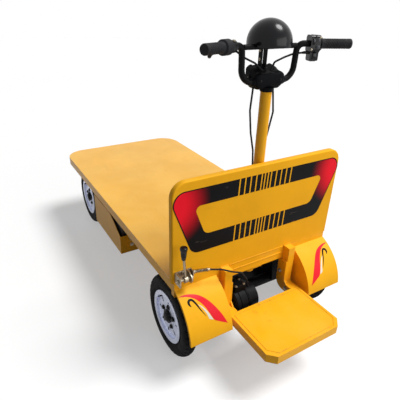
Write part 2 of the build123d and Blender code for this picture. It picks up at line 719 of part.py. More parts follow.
def bar_leads():
    """The brake cable and the throttle lead, each from the bar to the crown's top."""
    x, high, low = POST_X, BAR_Z - 18, CROWN_REAR_Z + 7
    near = RISER_TOP_Y + 12
    left = ((x - 6, near + 48, high + 9), (x + 18, near, high), (x + 22, near - 46, high - 26),
            (x + 22, near - 90, low + 26), (x + 8, 18, low))
    right = ((x - 8, -near - 32, high - 12), (x + 18, 6 - near, high - 18), (x + 22, 48 - near, high - 30),
             (x + 22, 90 - near, low + 26), (x + 8, -18, low))
    ends = (brake_lever(), switch_block())
    return [pipe(points, LEAD_R, 20) - crown_body() - end for points, end in zip((left, right), ends)]


def post_cables():
    """Two cables from the crown that bow out and enter the hollow post lower down."""
    x, z = POST_X, POST_HEAD
    left = ((x + 12, 50, z + 27), (x + 8, 60, z - 75), (x + 20, 38, z - 165), (x + 36, 6, z - 245),
            (x + 36, -2, z - 345), (x, -2, z - 415))
    right = ((x + 16, -40, z + 27), (x + 16, -58, z - 95), (x + 42, -56, z - 225), (x + 46, -40, z - 325),
             (x + 34, -6, z - 405), (x, -4, z - 465))
    post = column(POST_X, 0, POST_R, POST_FOOT, POST_HEAD)
    return [pipe(points, CABLE_R, 30) - post - crown_body() for points in (left, right)]


# Hand lever

def lever_bracket():
    """A plate on the panel with an ear, a disc and the pin between them."""
    y0, y1 = LEVER_PLATE_Y
    z0, z1 = LEVER_PLATE_Z
    t = LEVER_PLATE_SIZE[2]
    px, pz = LEVER_PIVOT
    bracket = block(-t, 0, y0, y1, z0, z1)
    bracket += block(px - 16, -t, y1 - t, y1, z0, z1)
    bracket += drum(px, pz, LEVER_DISC_R, y0 + 16, y0 + 16 + t) + block(px, -t, y0 + 16, y0 + 16 + t, z0, z1)
    bracket += block(px + 2, -t, y0, y0 + t, pz, z1)
    return bracket + drum(px, pz, LEVER_PIN_R, y0 + 16, y1)


def hand_lever():
    px, pz = LEVER_PIVOT
    tx, tz = LEVER_TOP
    lever = rod((px, LEVER_FOOT_Y, pz), (tx, LEVER_Y, tz), LEVER_ROD_R)
    lever += drum(px, pz, LEVER_DISC_R - 6, LEVER_FOOT_Y - 7, LEVER_FOOT_Y + 7)
    return lever - drum(px, pz, LEVER_PIN_R, LEVER_FOOT_Y - 8, LEVER_FOOT_Y + 8)


def lever_knob():
    tx = LEVER_TOP[0]
    z0, z1 = KNOB_Z
    knob = Pos(tx, LEVER_Y, (z0 + z1) / 2) * Cone(8, 14.5, z1 - z0)
    knob = fillet(knob.edges().sort_by(Axis.Z)[-1], 9)
    return knob - hand_lever()


def lever_cable():
    """From the bracket's stop past the left arm and down into the gear case."""
    y, z = LEVER_PLATE_Y[0], LEVER_PLATE_Z[1]
    points = ((-14, y + 3, z - 12), (-24, y - 66, z - 18), (-40, RAIL_Y + 27, z - 28),
              (-46, RAIL_Y - 22, z - 54), (-42, RAIL_Y - 70, z - 78), (-24, CASE_Y + 30, MOTOR_Z + 115),
              (-6, CASE_Y, MOTOR_Z + 40))
    return pipe(points, CABLE_R, 24) - lever_bracket() - rear_axle()


def motor_leads():
    """Three wires from the motor's end box to the controller."""
    x, y = CONTROLLER_X, CONTROLLER_Y + CONTROLLER[1] / 2
    z = TUBE_LOW - CONTROLLER[2] / 2
    low = MOTOR_Z + MOTOR_R + 10
    leads = []
    for step in (-13, 0, 13):
        points = ((MOTOR_X + 22, BOX_Y + step, low), (REAR_AXLE_X + 16, BOX_Y + step, low - 2),
                  (x - 90, y + 70 + 3 * step, low), (x - 42, y + step, z), (x + 1, y + step, z))
        leads.append(pipe(points, CABLE_R, 24) - drive_motor() - motor_controller())
    return leads


def wheel_nodes():
    rows = (("rear", REAR_AXLE_X, REAR_TRACK, rear_hub()), ("front", FRONT_AXLE_X, FRONT_TRACK, front_hub()))
    nodes = {}
    for end, x, track, hub in rows:
        for name, side in LEFT_RIGHT:
            y = side * track / 2
            nodes[f"{end}_{name}_tyre"] = tyre(x, y)
            nodes[f"{end}_{name}_rim"] = Pos(x, y, WHEEL_R) * mirrored(wheel_rim(), side)
            nodes[f"{end}_{name}_hub"] = Pos(x, y, WHEEL_R) * mirrored(hub, side)
    return nodes


def all_nodes():
    nodes = {
        "deck_sheet": deck_sheet(),
        "side_rails": side_rails(),
        "front_rail": front_rail(),
        "main_rails": main_rails(),
        "crossmembers": crossmembers(),
        "rear_panel": rear_panel(),
        "rear_skirt": rear_skirt(),
        "foot_plate": foot_plate(),
        "step_arms": step_arms(),
        "step_gussets": step_gussets(),
        "battery_tray": battery_tray(),
        "tray_hangers": tray_hangers(),
        "battery_pack": battery_pack(),
        "motor_controller": motor_controller(),
        "rear_axle": rear_axle(),
        "drive_motor": drive_motor(),
        "axle_brackets": axle_brackets(),
        "front_axle": front_axle(),
        "front_brackets": front_brackets(),
        "tie_rod": tie_rod(),
        "drag_link": drag_link(),
        "steering_post": steering_post(),
        "column_bearing": column_bearing(),
        "handlebar": handlebar(),
        "crown_cover": crown_cover(),
        "headlamp_shell": headlamp_shell(),
        "headlamp_lens": headlamp_lens(),
        "lamp_stays": lamp_stays(),
        "switch_block": switch_block(),
        "brake_lever": brake_lever(),
        "bar_leads": bar_leads(),
        "post_cables": post_cables(),
        "lever_bracket": lever_bracket(),
        "hand_lever": hand_lever(),
        "lever_knob": lever_knob(),
        "lever_cable": lever_cable(),
        "motor_leads": motor_leads(),
    }
    for name, side in LEFT_RIGHT:
        nodes[f"{name}_fender"] = fender(side)
        nodes[f"{name}_knuckle"] = knuckle(side)
        nodes[f"{name}_grip"] = grip(side)
    nodes.update(wheel_nodes())
    return nodes


for node, shape in all_nodes().items():
    solids = shape if isinstance(shape, list) else [shape]
    placed = [Pos(ROW_SHIFT, 0, 0) * solid for item in solids for solid in item.solids()]
    export_step(placed[0] if len(placed) == 1 else Compound(placed), f"parts/{node}.step")
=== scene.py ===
"""Paint, prints, tyres and fittings of an electric platform cart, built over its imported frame."""
import json
import math

import bmesh
import bpy
from bpy.props import FloatProperty, FloatVectorProperty, IntProperty, PointerProperty
from mathutils import Matrix, Vector


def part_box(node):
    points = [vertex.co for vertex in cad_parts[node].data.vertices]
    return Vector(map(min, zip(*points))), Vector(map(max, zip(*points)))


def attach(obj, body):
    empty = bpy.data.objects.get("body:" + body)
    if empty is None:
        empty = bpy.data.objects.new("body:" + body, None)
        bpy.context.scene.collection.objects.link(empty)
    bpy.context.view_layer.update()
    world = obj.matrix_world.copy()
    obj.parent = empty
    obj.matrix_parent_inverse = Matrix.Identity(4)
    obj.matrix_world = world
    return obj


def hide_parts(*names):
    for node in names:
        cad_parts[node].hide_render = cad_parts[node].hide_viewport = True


bl_info = {
    "name": "Platform cart dresser",
    "version": (1, 0, 0),
    "blender": (4, 5, 0),
    "location": "3D View > Sidebar > Cart",
    "description": "Builds the paint, prints, tyres and fittings of an electric platform cart",
    "category": "Object",
}

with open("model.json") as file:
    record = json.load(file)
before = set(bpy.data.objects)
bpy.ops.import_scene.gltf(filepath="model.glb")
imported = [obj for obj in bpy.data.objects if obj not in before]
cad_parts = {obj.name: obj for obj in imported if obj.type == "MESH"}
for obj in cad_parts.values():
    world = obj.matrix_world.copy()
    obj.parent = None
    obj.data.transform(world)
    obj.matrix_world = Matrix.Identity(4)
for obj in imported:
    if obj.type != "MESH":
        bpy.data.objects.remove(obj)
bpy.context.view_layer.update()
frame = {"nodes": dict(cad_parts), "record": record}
MM = 0.001
REAR_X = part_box("rear_panel")[0].x
BOTH = (1, -1)
SIDES = tuple(zip(("left", "right"), BOTH))
UP = Vector((0, 0, 1))
LEAST_R = 0.02
COLUMN_X = 50
BAR_END, BAR_TOP = (-22.0, 312.0, 1253.0), (50.0, 122.0, 1252.0)
GROUPS, FINISH, TREES = {}, {}, {}


# Placing and meshing: sizes are in millimetres, and a finish is a material's name

def at(x, y, z):
    """A point from the panel's rear face, the centre line and the floor."""
    return Vector((REAR_X + x * MM, y * MM, z * MM))


def new_piece(name, mesh, finishes=()):
    """Links a mesh to the scene and gives it its finishes."""
    obj = bpy.data.objects.new(name, mesh)
    bpy.context.scene.collection.objects.link(obj)
    for finish in finishes:
        mesh.materials.append(FINISH[finish])
    return obj


def sort_by_place(parts, place):
    """Puts verts or faces in the order of their places, because a bevel's own order changes."""
    rank = {part: i for i, part in enumerate(sorted(parts, key=place))}
    parts.sort(key=rank.get)


def close_mesh(bm, name):
    """Merges doubles, turns the faces outwards and hands over a mesh, in the same order each run."""
    bmesh.ops.remove_doubles(bm, verts=bm.verts, dist=2e-6)
    bm.normal_update()
    bmesh.ops.recalc_face_normals(bm, faces=bm.faces)
    sort_by_place(bm.verts, lambda vert: vert.co[:])
    sort_by_place(bm.faces, lambda face: face.calc_center_median()[:])
    mesh = bpy.data.meshes.new(name)
    bm.to_mesh(mesh)
    bm.free()
    return mesh


def settle(obj, body, nodes=(), sharp=32):
    """Shades a finished piece, seats it on its body and hides the frame's solids that it replaces."""
    obj.data.shade_smooth()
    obj.data.set_sharp_from_angle(angle=math.radians(sharp))
    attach(obj, body)
    if nodes:
        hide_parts(*nodes)


def make(name, bm, finishes, body, nodes=(), sharp=32):
    """Turns a bmesh into a settled piece."""
    settle(new_piece(name, close_mesh(bm, name), finishes), body, nodes, sharp)


def circle(count, start=0.0):
    """Cosine and sine of even steps round a turn."""
    for i in range(count):
        turn = math.tau * i / count + start
        yield math.cos(turn), math.sin(turn)


def skin(bm, rings, material=0, loop=False):
    """Faces between rings of equal length; the ends are capped, or joined in a loop."""
    rows = [[bm.verts.new(point) for point in ring] for ring in rings]
    pairs = list(zip(rows, rows[1:]))
    if loop:
        pairs.append((rows[-1], rows[0]))
    count = len(rows[0])
    for a, b in pairs:
        for i in range(count):
            j = (i + 1) % count
            bm.faces.new((a[i], a[j], b[j], b[i])).material_index = material
    if not loop:
        for row in (rows[0], rows[-1]):
            bm.faces.new(row).material_index = material


def lathe(bm, base, axis, profile, segments=32, material=0):
    """Turns (distance along the axis, radius) pairs round an axis."""
    axis = Vector(axis).normalized()
    across = axis.orthogonal().normalized()
    other = axis.cross(across)
    rings = []
    for distance, radius in profile:
        centre, radius = base + axis * distance * MM, max(radius, LEAST_R)
        rings.append([centre + (across * c + other * s) * radius * MM for c, s in circle(segments)])
    skin(bm, rings, material)


def rounded_box(bm, centre, size, bevel, axes=None, material=0, segments=3):
    """A box with rounded edges, turned by a 3 x 3 matrix."""
    before = set(bm.faces)
    verts = bmesh.ops.create_cube(bm, size=1.0)["verts"]
    turn = axes or Matrix.Identity(3)
    for vert in verts:
        local = Vector(vert.co[i] * size[i] * MM for i in range(3))
        vert.co = centre + turn @ local
    bm.normal_update()
    edges = list(dict.fromkeys(edge for vert in verts for edge in vert.link_edges))
    bmesh.ops.bevel(bm, geom=edges, offset=bevel * MM, segments=segments, profile=0.5, affect="EDGES")
    for face in bm.faces:
        if face not in before:
            face.material_index = material


def smooth(points, count):
    """Points spread evenly along a smooth curve through the given ones."""
    points = [Vector(point) for point in points]
    ends = [points[0] * 2 - points[1]] + points + [points[-1] * 2 - points[-2]]
    spans = len(points) - 1
    out = []
    for i in range(count):
        place = spans * i / (count - 1)
        k = min(int(place), spans - 1)
        t = place - k
        a, b, c, d = ends[k:k + 4]
        out.append(0.5 * ((2 * b) + (c - a) * t + (2 * a - 5 * b + 4 * c - d) * t ** 2
                          + (3 * b - a - 3 * c + d) * t ** 3))
    return out


def tube(bm, points, sizes, segments):
    """A bar along points; sizes gives each ring's two half widths."""
    across = (points[1] - points[0]).orthogonal().normalized()
    rings = []
    for i, point in enumerate(points):
        ahead = points[min(i + 1, len(points) - 1)] - points[max(i - 1, 0)]
        ahead.normalize()
        across = (across - ahead * across.dot(ahead)).normalized()
        other = ahead.cross(across)
        a, b = sizes[i]
        rings.append([point + across * c * a * MM + other * s * b * MM for c, s in circle(segments)])
    skin(bm, rings)


def film(bm, rows, place, low, high, material=0):
    """A thin closed sheet over rows of flat points, between two heights above its ground."""
    rings = [[place(p, high) for p in row] + [place(p, low) for p in reversed(row)] for row in rows]
    skin(bm, rings, material)


def between(a, b, columns):
    """Rows of points across the strip between two lines of equal length."""
    return [[p.lerp(q, i / columns) for i in range(columns + 1)] for p, q in zip(a, b)]


def inset(a, b, distance):
    """The line that runs a distance in from one line towards another."""
    return [p.lerp(q, distance / (q - p).length) for p, q in zip(a, b)]


def bar_frame(side, distance):
    """A place on the straight of the bar, with axes up, across and inwards along it."""
    end, top = (at(x, side * y, z) for x, y, z in (BAR_END, BAR_TOP))
    inward = (top - end).normalized()
    up = (UP - inward * inward.z).normalized()
    across = inward.cross(up)
    return end + inward * distance * MM, Matrix((up, across, inward)).transposed()


def on_bar(side, distance, up, across):
    """A point beside the bar."""
    origin, axes = bar_frame(side, distance)
    return origin + axes @ Vector((up * MM, across * MM, 0))


def middle(node):
    """The middle of a node's box."""
    low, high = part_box(node)
    return (low + high) / 2


def wheels():
    """Name, centre and outward direction of every wheel."""
    for end in ("rear", "front"):
        for name, side in SIDES:
            yield f"{end}_{name}", middle(f"{end}_{name}_tyre"), Vector((0, side, 0))


# Node building

def add(tree, kind, inputs=None, **settings):
    """A node with its settings and inputs; an input is a value or another node's socket."""
    node = tree.nodes.new(kind)
    for key, value in settings.items():
        setattr(node, key, value)
    for key, value in (inputs or {}).items():
        if isinstance(value, bpy.types.NodeSocket):
            tree.links.new(value, node.inputs[key])
        else:
            node.inputs[key].default_value = value
    return node


def calc(tree, operation, a, b=0.0):
    return add(tree, "ShaderNodeMath", {0: a, 1: b}, operation=operation).outputs[0]


def product(tree, first, *factors):
    for factor in factors:
        first = calc(tree, "MULTIPLY", first, factor)
    return first


def remap(tree, value, low, high, to_low=0.0, to_high=1.0):
    """Moves a value from one range to another, with soft ends."""
    ends = {0: value, 1: low, 2: high, 3: to_low, 4: to_high}
    return add(tree, "ShaderNodeMapRange", ends, interpolation_type="SMOOTHSTEP").outputs[0]


def object_place(tree):
    return add(tree, "ShaderNodeTexCoord").outputs["Object"]


def noise(tree, scale, detail=2.0, place=None, **more):
    """A noise's factor, over the object's own place if no other is given."""
    inputs = {"Vector": object_place(tree) if place is None else place, "Scale": scale, "Detail": detail}
    return add(tree, "ShaderNodeTexNoise", inputs | more).outputs["Fac"]


def drawn_out(tree, scale, **more):
    """The object's own place, drawn out along an axis."""
    return add(tree, "ShaderNodeMapping", {"Vector": object_place(tree), "Scale": scale} | more).outputs[0]


def mix_colour(tree, factor, a, b):
    return add(tree, "ShaderNodeMix", {0: factor, 6: a, 7: b}, data_type="RGBA").outputs[2]


def linear(colour):
    """A colour written as it looks on screen, in the light values that the shader takes."""
    return tuple(v / 12.92 if v <= 0.04045 else ((v + 0.055) / 1.055) ** 2.4 for v in colour) + (1.0,)


def grey(level):
    return level, level, level, 1.0


def toned(colour, gain, lift=0.0):
    return tuple(v * gain + lift for v in colour)


def layered(tree, ground, *layers):
    """Lays (mask, colour) pairs over a ground colour, one after the other."""
    base = linear(ground)
    for mask, colour in layers:
        base = mix_colour(tree, mask, base, linear(colour))
    return base


def shown_rays(tree):
    """1 for the rays that show the surround: seen directly, in metal or through glass."""
    path = add(tree, "ShaderNodeLightPath").outputs
    mirrored = calc(tree, "ADD", path["Is Glossy Ray"], path["Is Transmission Ray"])
    return calc(tree, "MINIMUM", calc(tree, "ADD", path["Is Camera Ray"], mirrored), 1.0)


# Shader groups

def shader_group(name, inputs, *outputs):
    """An empty group with named sockets; gives its tree, its inputs and a way to set its outputs."""
    tree = bpy.data.node_groups.new(name, "ShaderNodeTree")
    for label, default in inputs.items():
        kind = "NodeSocketVector" if isinstance(default, tuple) else "NodeSocketFloat"
        tree.interface.new_socket(label, in_out="INPUT", socket_type=kind).default_value = default
    for label in outputs:
        kind = "NodeSocketVector" if label == "Normal" else "NodeSocketFloat"
        tree.interface.new_socket(label, in_out="OUTPUT", socket_type=kind)
    GROUPS[name] = tree

    def put_out(**results):
        add(tree, "NodeGroupOutput", results)

    return tree, add(tree, "NodeGroupInput").outputs, put_out


def paint_skin_group():
    """Orange peel of sprayed enamel, and the slow change of its tint."""
    tree, given, put_out = shader_group("paint_skin", {"Scale": 900.0}, "Height", "Tint")
    slow = noise(tree, 3.1, 5.0, Roughness=0.6)
    put_out(Height=noise(tree, given["Scale"], 1.5), Tint=remap(tree, slow, 0.3, 0.72))


def rubbed_edge_group():
    """Where an edge stands out enough to be rubbed, with the edge's softened normal."""
    tree, given, put_out = shader_group("rubbed_edge", {"Radius": 0.002, "Amount": 0.5}, "Mask", "Normal")
    bevel = add(tree, "ShaderNodeBevel", {"Radius": given["Radius"]}, samples=4).outputs[0]
    flat = add(tree, "ShaderNodeNewGeometry").outputs["Normal"]
    facing = add(tree, "ShaderNodeVectorMath", {0: bevel, 1: flat}, operation="DOT_PRODUCT").outputs["Value"]
    edge = remap(tree, facing, 0.985, 0.8)
    broken = remap(tree, noise(tree, 46.0, 4.0), 0.5, 0.66)
    put_out(Mask=product(tree, edge, broken, given["Amount"]), Normal=bevel)


def settled_dust_group():
    """Dust that lies in patches on what faces up."""
    tree, given, put_out = shader_group("settled_dust", {"Scale": 7.0, "Amount": 0.3}, "Mask")
    normal = add(tree, "ShaderNodeNewGeometry").outputs["Normal"]
    height = add(tree, "ShaderNodeSeparateXYZ", {0: normal}).outputs["Z"]
    patch = remap(tree, noise(tree, given["Scale"], 6.0, Roughness=0.65), 0.35, 0.75)
    put_out(Mask=product(tree, remap(tree, height, -0.1, 0.95), patch, given["Amount"]))


def scuff_group():
    """Thin drawn-out marks, longest where Stretch is small."""
    inputs = {"Scale": 9.0, "Stretch": (1.0, 8.0, 8.0), "Amount": 0.4}
    tree, given, put_out = shader_group("scuffs", inputs, "Mask")
    drawn = drawn_out(tree, given["Stretch"], Rotation=(0.0, 0.0, 0.35))
    line = noise(tree, given["Scale"], 3.0, drawn, Distortion=0.3)
    patch = remap(tree, noise(tree, 5.0), 0.45, 0.62)
    put_out(Mask=product(tree, remap(tree, line, 0.63, 0.70), patch, given["Amount"]))


def moulded_grain_group():
    """The fine pebbled face of moulded plastic and rubber."""
    tree, given, put_out = shader_group("moulded_grain", {"Scale": 1500.0}, "Height", "Tint")
    pebble = add(tree, "ShaderNodeTexVoronoi", {"Vector": object_place(tree), "Scale": given["Scale"]})
    put_out(Height=pebble.outputs["Distance"], Tint=remap(tree, noise(tree, 24.0, 5.0), 0.3, 0.7))


# Finishes

BUMP_DEPTH = 0.0004
BRIGHT_SUM = 0.6
DUST_ON_BRIGHT, DUST_ON_DARK, DUST_ON_PLASTIC = (0.93, 0.78, 0.45), (0.30, 0.29, 0.27), (0.42, 0.40, 0.37)
RUBBED_BRIGHT, RUBBED_DARK = 0.35, 0.22
RUBBER_DEEP, RUBBER = (0.03, 0.03, 0.035), (0.055, 0.055, 0.06)
ROAD_DUST, RUBBER_SCUFF = (0.24, 0.23, 0.21), (0.16, 0.155, 0.15)
PRINT_BLACK, PRINT_SCUFF = (0.045, 0.042, 0.055), (0.45, 0.40, 0.36)
FADE_CORNER, FADE_REACH = (0.43, 0.74), (0.185, 0.18)
GLASS_DEEP, GLASS = (0.90, 0.93, 0.95, 1), (0.97, 0.98, 1, 1)


def use(tree, name, **inputs):
    """The outputs of one of the groups."""
    values = {key.capitalize(): value for key, value in inputs.items()}
    return add(tree, "ShaderNodeGroup", values, node_tree=GROUPS[name]).outputs


def blank(name, **constants):
    """A material with its shader; constants go straight on the shader's own sockets."""
    material = bpy.data.materials.new(name)
    material.use_nodes = True
    shader = material.node_tree.nodes["Principled BSDF"]
    for key, value in constants.items():
        shader.inputs[key.replace("_", " ")].default_value = value
    FINISH[name] = material
    return material.node_tree, shader


def feed(tree, shader, colour, rough, height, strength, normal=None):
    """Links colour, roughness and bump to the shader."""
    tree.links.new(colour, shader.inputs["Base Color"])
    tree.links.new(rough, shader.inputs["Roughness"])
    inputs = {"Strength": strength, "Distance": BUMP_DEPTH, "Height": height}
    if normal is not None:
        inputs["Normal"] = normal
    tree.links.new(add(tree, "ShaderNodeBump", inputs).outputs[0], shader.inputs["Normal"])


def enamel(name, colour, dust, scuff, rough=0.32, coat=0.1, stretch=(1.0, 9.0, 9.0), wear=0.5, sheen=0.07):
    """Sprayed enamel with tint drift, dust, scuffs and rubbed edges."""
    tree, shader = blank(name, Coat_Weight=coat, Coat_Roughness=0.15, Specular_IOR_Level=sheen)
    paint = use(tree, "paint_skin", scale=700.0)
    rubbed = use(tree, "rubbed_edge", radius=2.0 * MM, amount=wear)
    dusty = use(tree, "settled_dust", scale=6.0, amount=dust)
    marks = use(tree, "scuffs", scale=8.0, stretch=stretch, amount=scuff)
    bright = sum(colour) > BRIGHT_SUM
    bare = RUBBED_BRIGHT if bright else RUBBED_DARK
    base = layered(tree, toned(colour, 0.94), (paint["Tint"], colour),
                   (dusty["Mask"], DUST_ON_BRIGHT if bright else DUST_ON_DARK),
                   (marks["Mask"], toned(colour, 0.6, 0.08)),
                   (rubbed["Mask"], (bare, bare * 0.95, bare * 0.88)))
    worn = calc(tree, "ADD", dusty["Mask"], marks["Mask"])
    feed(tree, shader, base, remap(tree, worn, 0.0, 1.0, rough, rough + 0.35), paint["Height"], 0.10,
         rubbed["Normal"])


def moulded(name, colour, rough, grain, strength, coat=0.0, dust=0.12, sheen=0.14):
    """Moulded plastic or rubber with a pebbled face, pale rubbed edges and a little dust."""
    tree, shader = blank(name, Coat_Weight=coat, Coat_Roughness=0.08, Specular_IOR_Level=sheen)
    face = use(tree, "moulded_grain", scale=grain)
    rubbed = use(tree, "rubbed_edge", radius=1.2 * MM, amount=0.4)
    dusty = use(tree, "settled_dust", scale=14.0, amount=dust)
    base = layered(tree, toned(colour, 0.8), (face["Tint"], colour), (dusty["Mask"], DUST_ON_PLASTIC),
                   (rubbed["Mask"], toned(colour, 0.7, 0.16)))
    uneven = remap(tree, face["Tint"], 0.0, 1.0, rough + 0.06, rough)
    feed(tree, shader, base, uneven, face["Height"], strength, rubbed["Normal"])


def metal(name, colour, rough, metallic=1.0, brushed=(1.0, 1.0, 40.0), tarnish=(0.35, 0.31, 0.25),
          amount=0.35):
    """Bare or plated metal with fine brushing and tarnish in patches."""
    tree, shader = blank(name, Metallic=metallic)
    line = noise(tree, 60.0, 3.0, drawn_out(tree, brushed))
    rubbed = use(tree, "rubbed_edge", radius=1.0 * MM, amount=0.5)
    patch = remap(tree, noise(tree, 38.0, 6.0), 0.52, 0.7, 0.0, amount)
    polished = tuple(min(v * 1.15, 0.95) for v in colour)
    base = layered(tree, toned(colour, 0.88), (line, colour), (patch, tarnish), (rubbed["Mask"], polished))
    feed(tree, shader, base, remap(tree, patch, 0.0, 1.0, rough, rough + 0.45), line, 0.06, rubbed["Normal"])


def tyre_rubber():
    """Black rubber, greyer with road dust where it faces up and with scuffs all round."""
    tree, shader = blank("tyre_rubber", Specular_IOR_Level=0.08)
    face = use(tree, "moulded_grain", scale=900.0)
    dusty = use(tree, "settled_dust", scale=30.0, amount=0.18)
    worn = use(tree, "scuffs", scale=22.0, stretch=(2.0, 2.0, 2.0), amount=0.5)
    base = layered(tree, RUBBER_DEEP, (face["Tint"], RUBBER), (dusty["Mask"], ROAD_DUST),
                   (worn["Mask"], RUBBER_SCUFF))
    feed(tree, shader, base, remap(tree, face["Tint"], 0.0, 1.0, 0.62, 0.78), face["Height"], 0.12)


def corner_fade(tree):
    """A mask that fills the panel's upper outer corners."""
    split = add(tree, "ShaderNodeSeparateXYZ", {0: object_place(tree)}).outputs
    places = calc(tree, "ABSOLUTE", split["Y"]), split["Z"]
    squares = []
    for place, corner, reach in zip(places, FADE_CORNER, FADE_REACH):
        share = calc(tree, "DIVIDE", calc(tree, "SUBTRACT", corner, place), reach)
        squares.append(calc(tree, "POWER", calc(tree, "ABSOLUTE", share), 2.0))
    return remap(tree, calc(tree, "SQRT", calc(tree, "ADD", *squares)), 1.0, 0.35)


def printed_film(name, colour, fade=None):
    """Gloss print; fade gives the second colour, which fills the upper outer corners."""
    tree, shader = blank(name, Specular_IOR_Level=0.06)
    paint = use(tree, "paint_skin", scale=420.0)
    marks = use(tree, "scuffs", scale=16.0, stretch=(4.0, 1.0, 5.0), amount=0.25)
    corners = [(corner_fade(tree), fade)] if fade else []
    base = layered(tree, toned(colour, 0.85), (paint["Tint"], colour), *corners, (marks["Mask"], PRINT_SCUFF))
    feed(tree, shader, base, remap(tree, marks["Mask"], 0.0, 1.0, 0.3, 0.55), paint["Height"], 0.05)


def clear_glass():
    """The lamp's glass, a little uneven."""
    tree, shader = blank("lens_clear", Transmission_Weight=1.0, IOR=1.46)
    drop = noise(tree, 60.0, 4.0)
    base = mix_colour(tree, remap(tree, drop, 0.35, 0.7), GLASS_DEEP, GLASS)
    feed(tree, shader, base, remap(tree, drop, 0.4, 0.7, 0.03, 0.12), drop, 0.02)


# Geometry node trees

def geometry_tree(name, *inputs):
    """A tree with a geometry, named inputs and a material; an input is its name, kind and default."""
    tree = bpy.data.node_groups.new(name, "GeometryNodeTree")
    for label, kind, *default in (("Geometry", "Geometry"), *inputs, ("Material", "Material")):
        socket = tree.interface.new_socket(label, in_out="INPUT", socket_type="NodeSocket" + kind)
        if default:
            socket.default_value = default[0]
    tree.interface.new_socket("Geometry", in_out="OUTPUT", socket_type="NodeSocketGeometry")
    return tree, add(tree, "NodeGroupInput").outputs


def hand_out(tree, given, **placing):
    """The end that every tree has: a shape on points, as real meshes with their material."""
    placed = add(tree, "GeometryNodeInstanceOnPoints", placing).outputs[0]
    real = add(tree, "GeometryNodeRealizeInstances", {"Geometry": placed}).outputs[0]
    painted = add(tree, "GeometryNodeSetMaterial", {"Geometry": real, "Material": given["Material"]})
    add(tree, "NodeGroupOutput", {"Geometry": painted.outputs[0]})
    return tree


def bolt_tree():
    """A washer and a chamfered hexagon head on each point, facing the way its aim says."""
    tree, given = geometry_tree("bolt_heads", ("Head", "Float", 0.007), ("Height", "Float", 0.005),
                                ("Washer", "Float", 0.010))
    head, height = given["Head"], given["Height"]
    thin = product(tree, height, 0.3)
    washer = add(tree, "GeometryNodeMeshCylinder", {"Vertices": 24, "Radius": given["Washer"], "Depth": thin})
    block = add(tree, "GeometryNodeMeshCylinder", {"Vertices": 6, "Radius": head, "Depth": height})
    crown = add(tree, "GeometryNodeMeshCone", {"Vertices": 6, "Radius Top": product(tree, head, 0.78),
                                               "Radius Bottom": head, "Depth": thin})
    parts = [washer.outputs["Mesh"]]
    for shape, lift in ((block, product(tree, height, 0.5)), (crown, height)):
        move = add(tree, "ShaderNodeCombineXYZ", {"Z": lift}).outputs[0]
        lifted = add(tree, "GeometryNodeTransform", {"Geometry": shape.outputs["Mesh"], "Translation": move})
        parts.append(lifted.outputs[0])
    whole = add(tree, "GeometryNodeJoinGeometry")
    for part in parts:
        tree.links.new(part, whole.inputs[0])
    aim = add(tree, "GeometryNodeInputNamedAttribute", {"Name": "aim"}, data_type="FLOAT_VECTOR").outputs[0]
    turn = add(tree, "FunctionNodeAlignRotationToVector", {"Vector": aim}, axis="Z").outputs[0]
    return hand_out(tree, given, Points=given["Geometry"], Instance=whole.outputs[0], Rotation=turn)


def repeat_tree():
    """The given shape, set out in a row or a ring."""
    tree, given = geometry_tree("repeated_shape", ("Count", "Int", 8), ("Start", "Vector"),
                                ("Step", "Vector"), ("Axis", "Vector"), ("Turn", "Float", 0.0))
    line = add(tree, "GeometryNodeMeshLine", {"Count": given["Count"], "Start Location": given["Start"],
                                              "Offset": given["Step"]}).outputs[0]
    angle = product(tree, add(tree, "GeometryNodeInputIndex").outputs[0], given["Turn"])
    turn = add(tree, "FunctionNodeAxisAngleToRotation", {"Axis": given["Axis"], "Angle": angle}).outputs[0]
    return hand_out(tree, given, Points=line, Instance=given["Geometry"], Rotation=turn)


def weld_tree():
    """Overlapping weld ripples along each line of the given mesh."""
    tree, given = geometry_tree("weld_ripples", ("Bead", "Float", 0.003), ("Pitch", "Float", 0.0035),
                                ("Seed", "Int", 7))
    path = add(tree, "GeometryNodeMeshToCurve", {"Mesh": given["Geometry"]}).outputs[0]
    spaced = add(tree, "GeometryNodeResampleCurve", {"Curve": path, "Length": given["Pitch"]}, mode="LENGTH")
    drop = add(tree, "GeometryNodeMeshIcoSphere", {"Radius": given["Bead"], "Subdivisions": 1}).outputs[0]
    size = add(tree, "FunctionNodeRandomValue", {2: 0.8, 3: 1.15, 8: given["Seed"]}, data_type="FLOAT")
    return hand_out(tree, given, Points=spaced.outputs[0], Instance=drop, Scale=size.outputs[1])


def grow(obj, tree_name, **values):
    """Runs a node tree on a piece and leaves a plain mesh in its place."""
    tree = TREES[tree_name]
    modifier = obj.modifiers.new("grow", "NODES")
    modifier.node_group = tree
    for item in tree.interface.items_tree:
        key = item.name.lower()
        if item.in_out == "INPUT" and key in values:
            modifier[item.identifier] = values[key]
    obj.update_tag()
    graph = bpy.context.evaluated_depsgraph_get()
    graph.update()
    mesh = bpy.data.meshes.new_from_object(obj.evaluated_get(graph), depsgraph=graph)
    if not mesh.polygons:
        raise RuntimeError(f"{obj.name} grew no faces")
    obj.modifiers.remove(modifier)
    obj.data = mesh


def bolts(name, body, rows, finish="zinc_steel", scale=1.0):
    """Bolt heads at (point, aim) rows."""
    fittings = bpy.context.scene.cart_fittings
    mesh = bpy.data.meshes.new(name)
    mesh.from_pydata([point for point, aim in rows], [], [])
    attribute = mesh.attributes.new("aim", "FLOAT_VECTOR", "POINT")
    for i, (point, aim) in enumerate(rows):
        attribute.data[i].vector = Vector(aim)
    obj = new_piece(name, mesh)
    grow(obj, "bolt", head=fittings.bolt_head * scale, height=fittings.bolt_height * scale,
         washer=fittings.washer * scale, material=FINISH[finish])
    settle(obj, body)


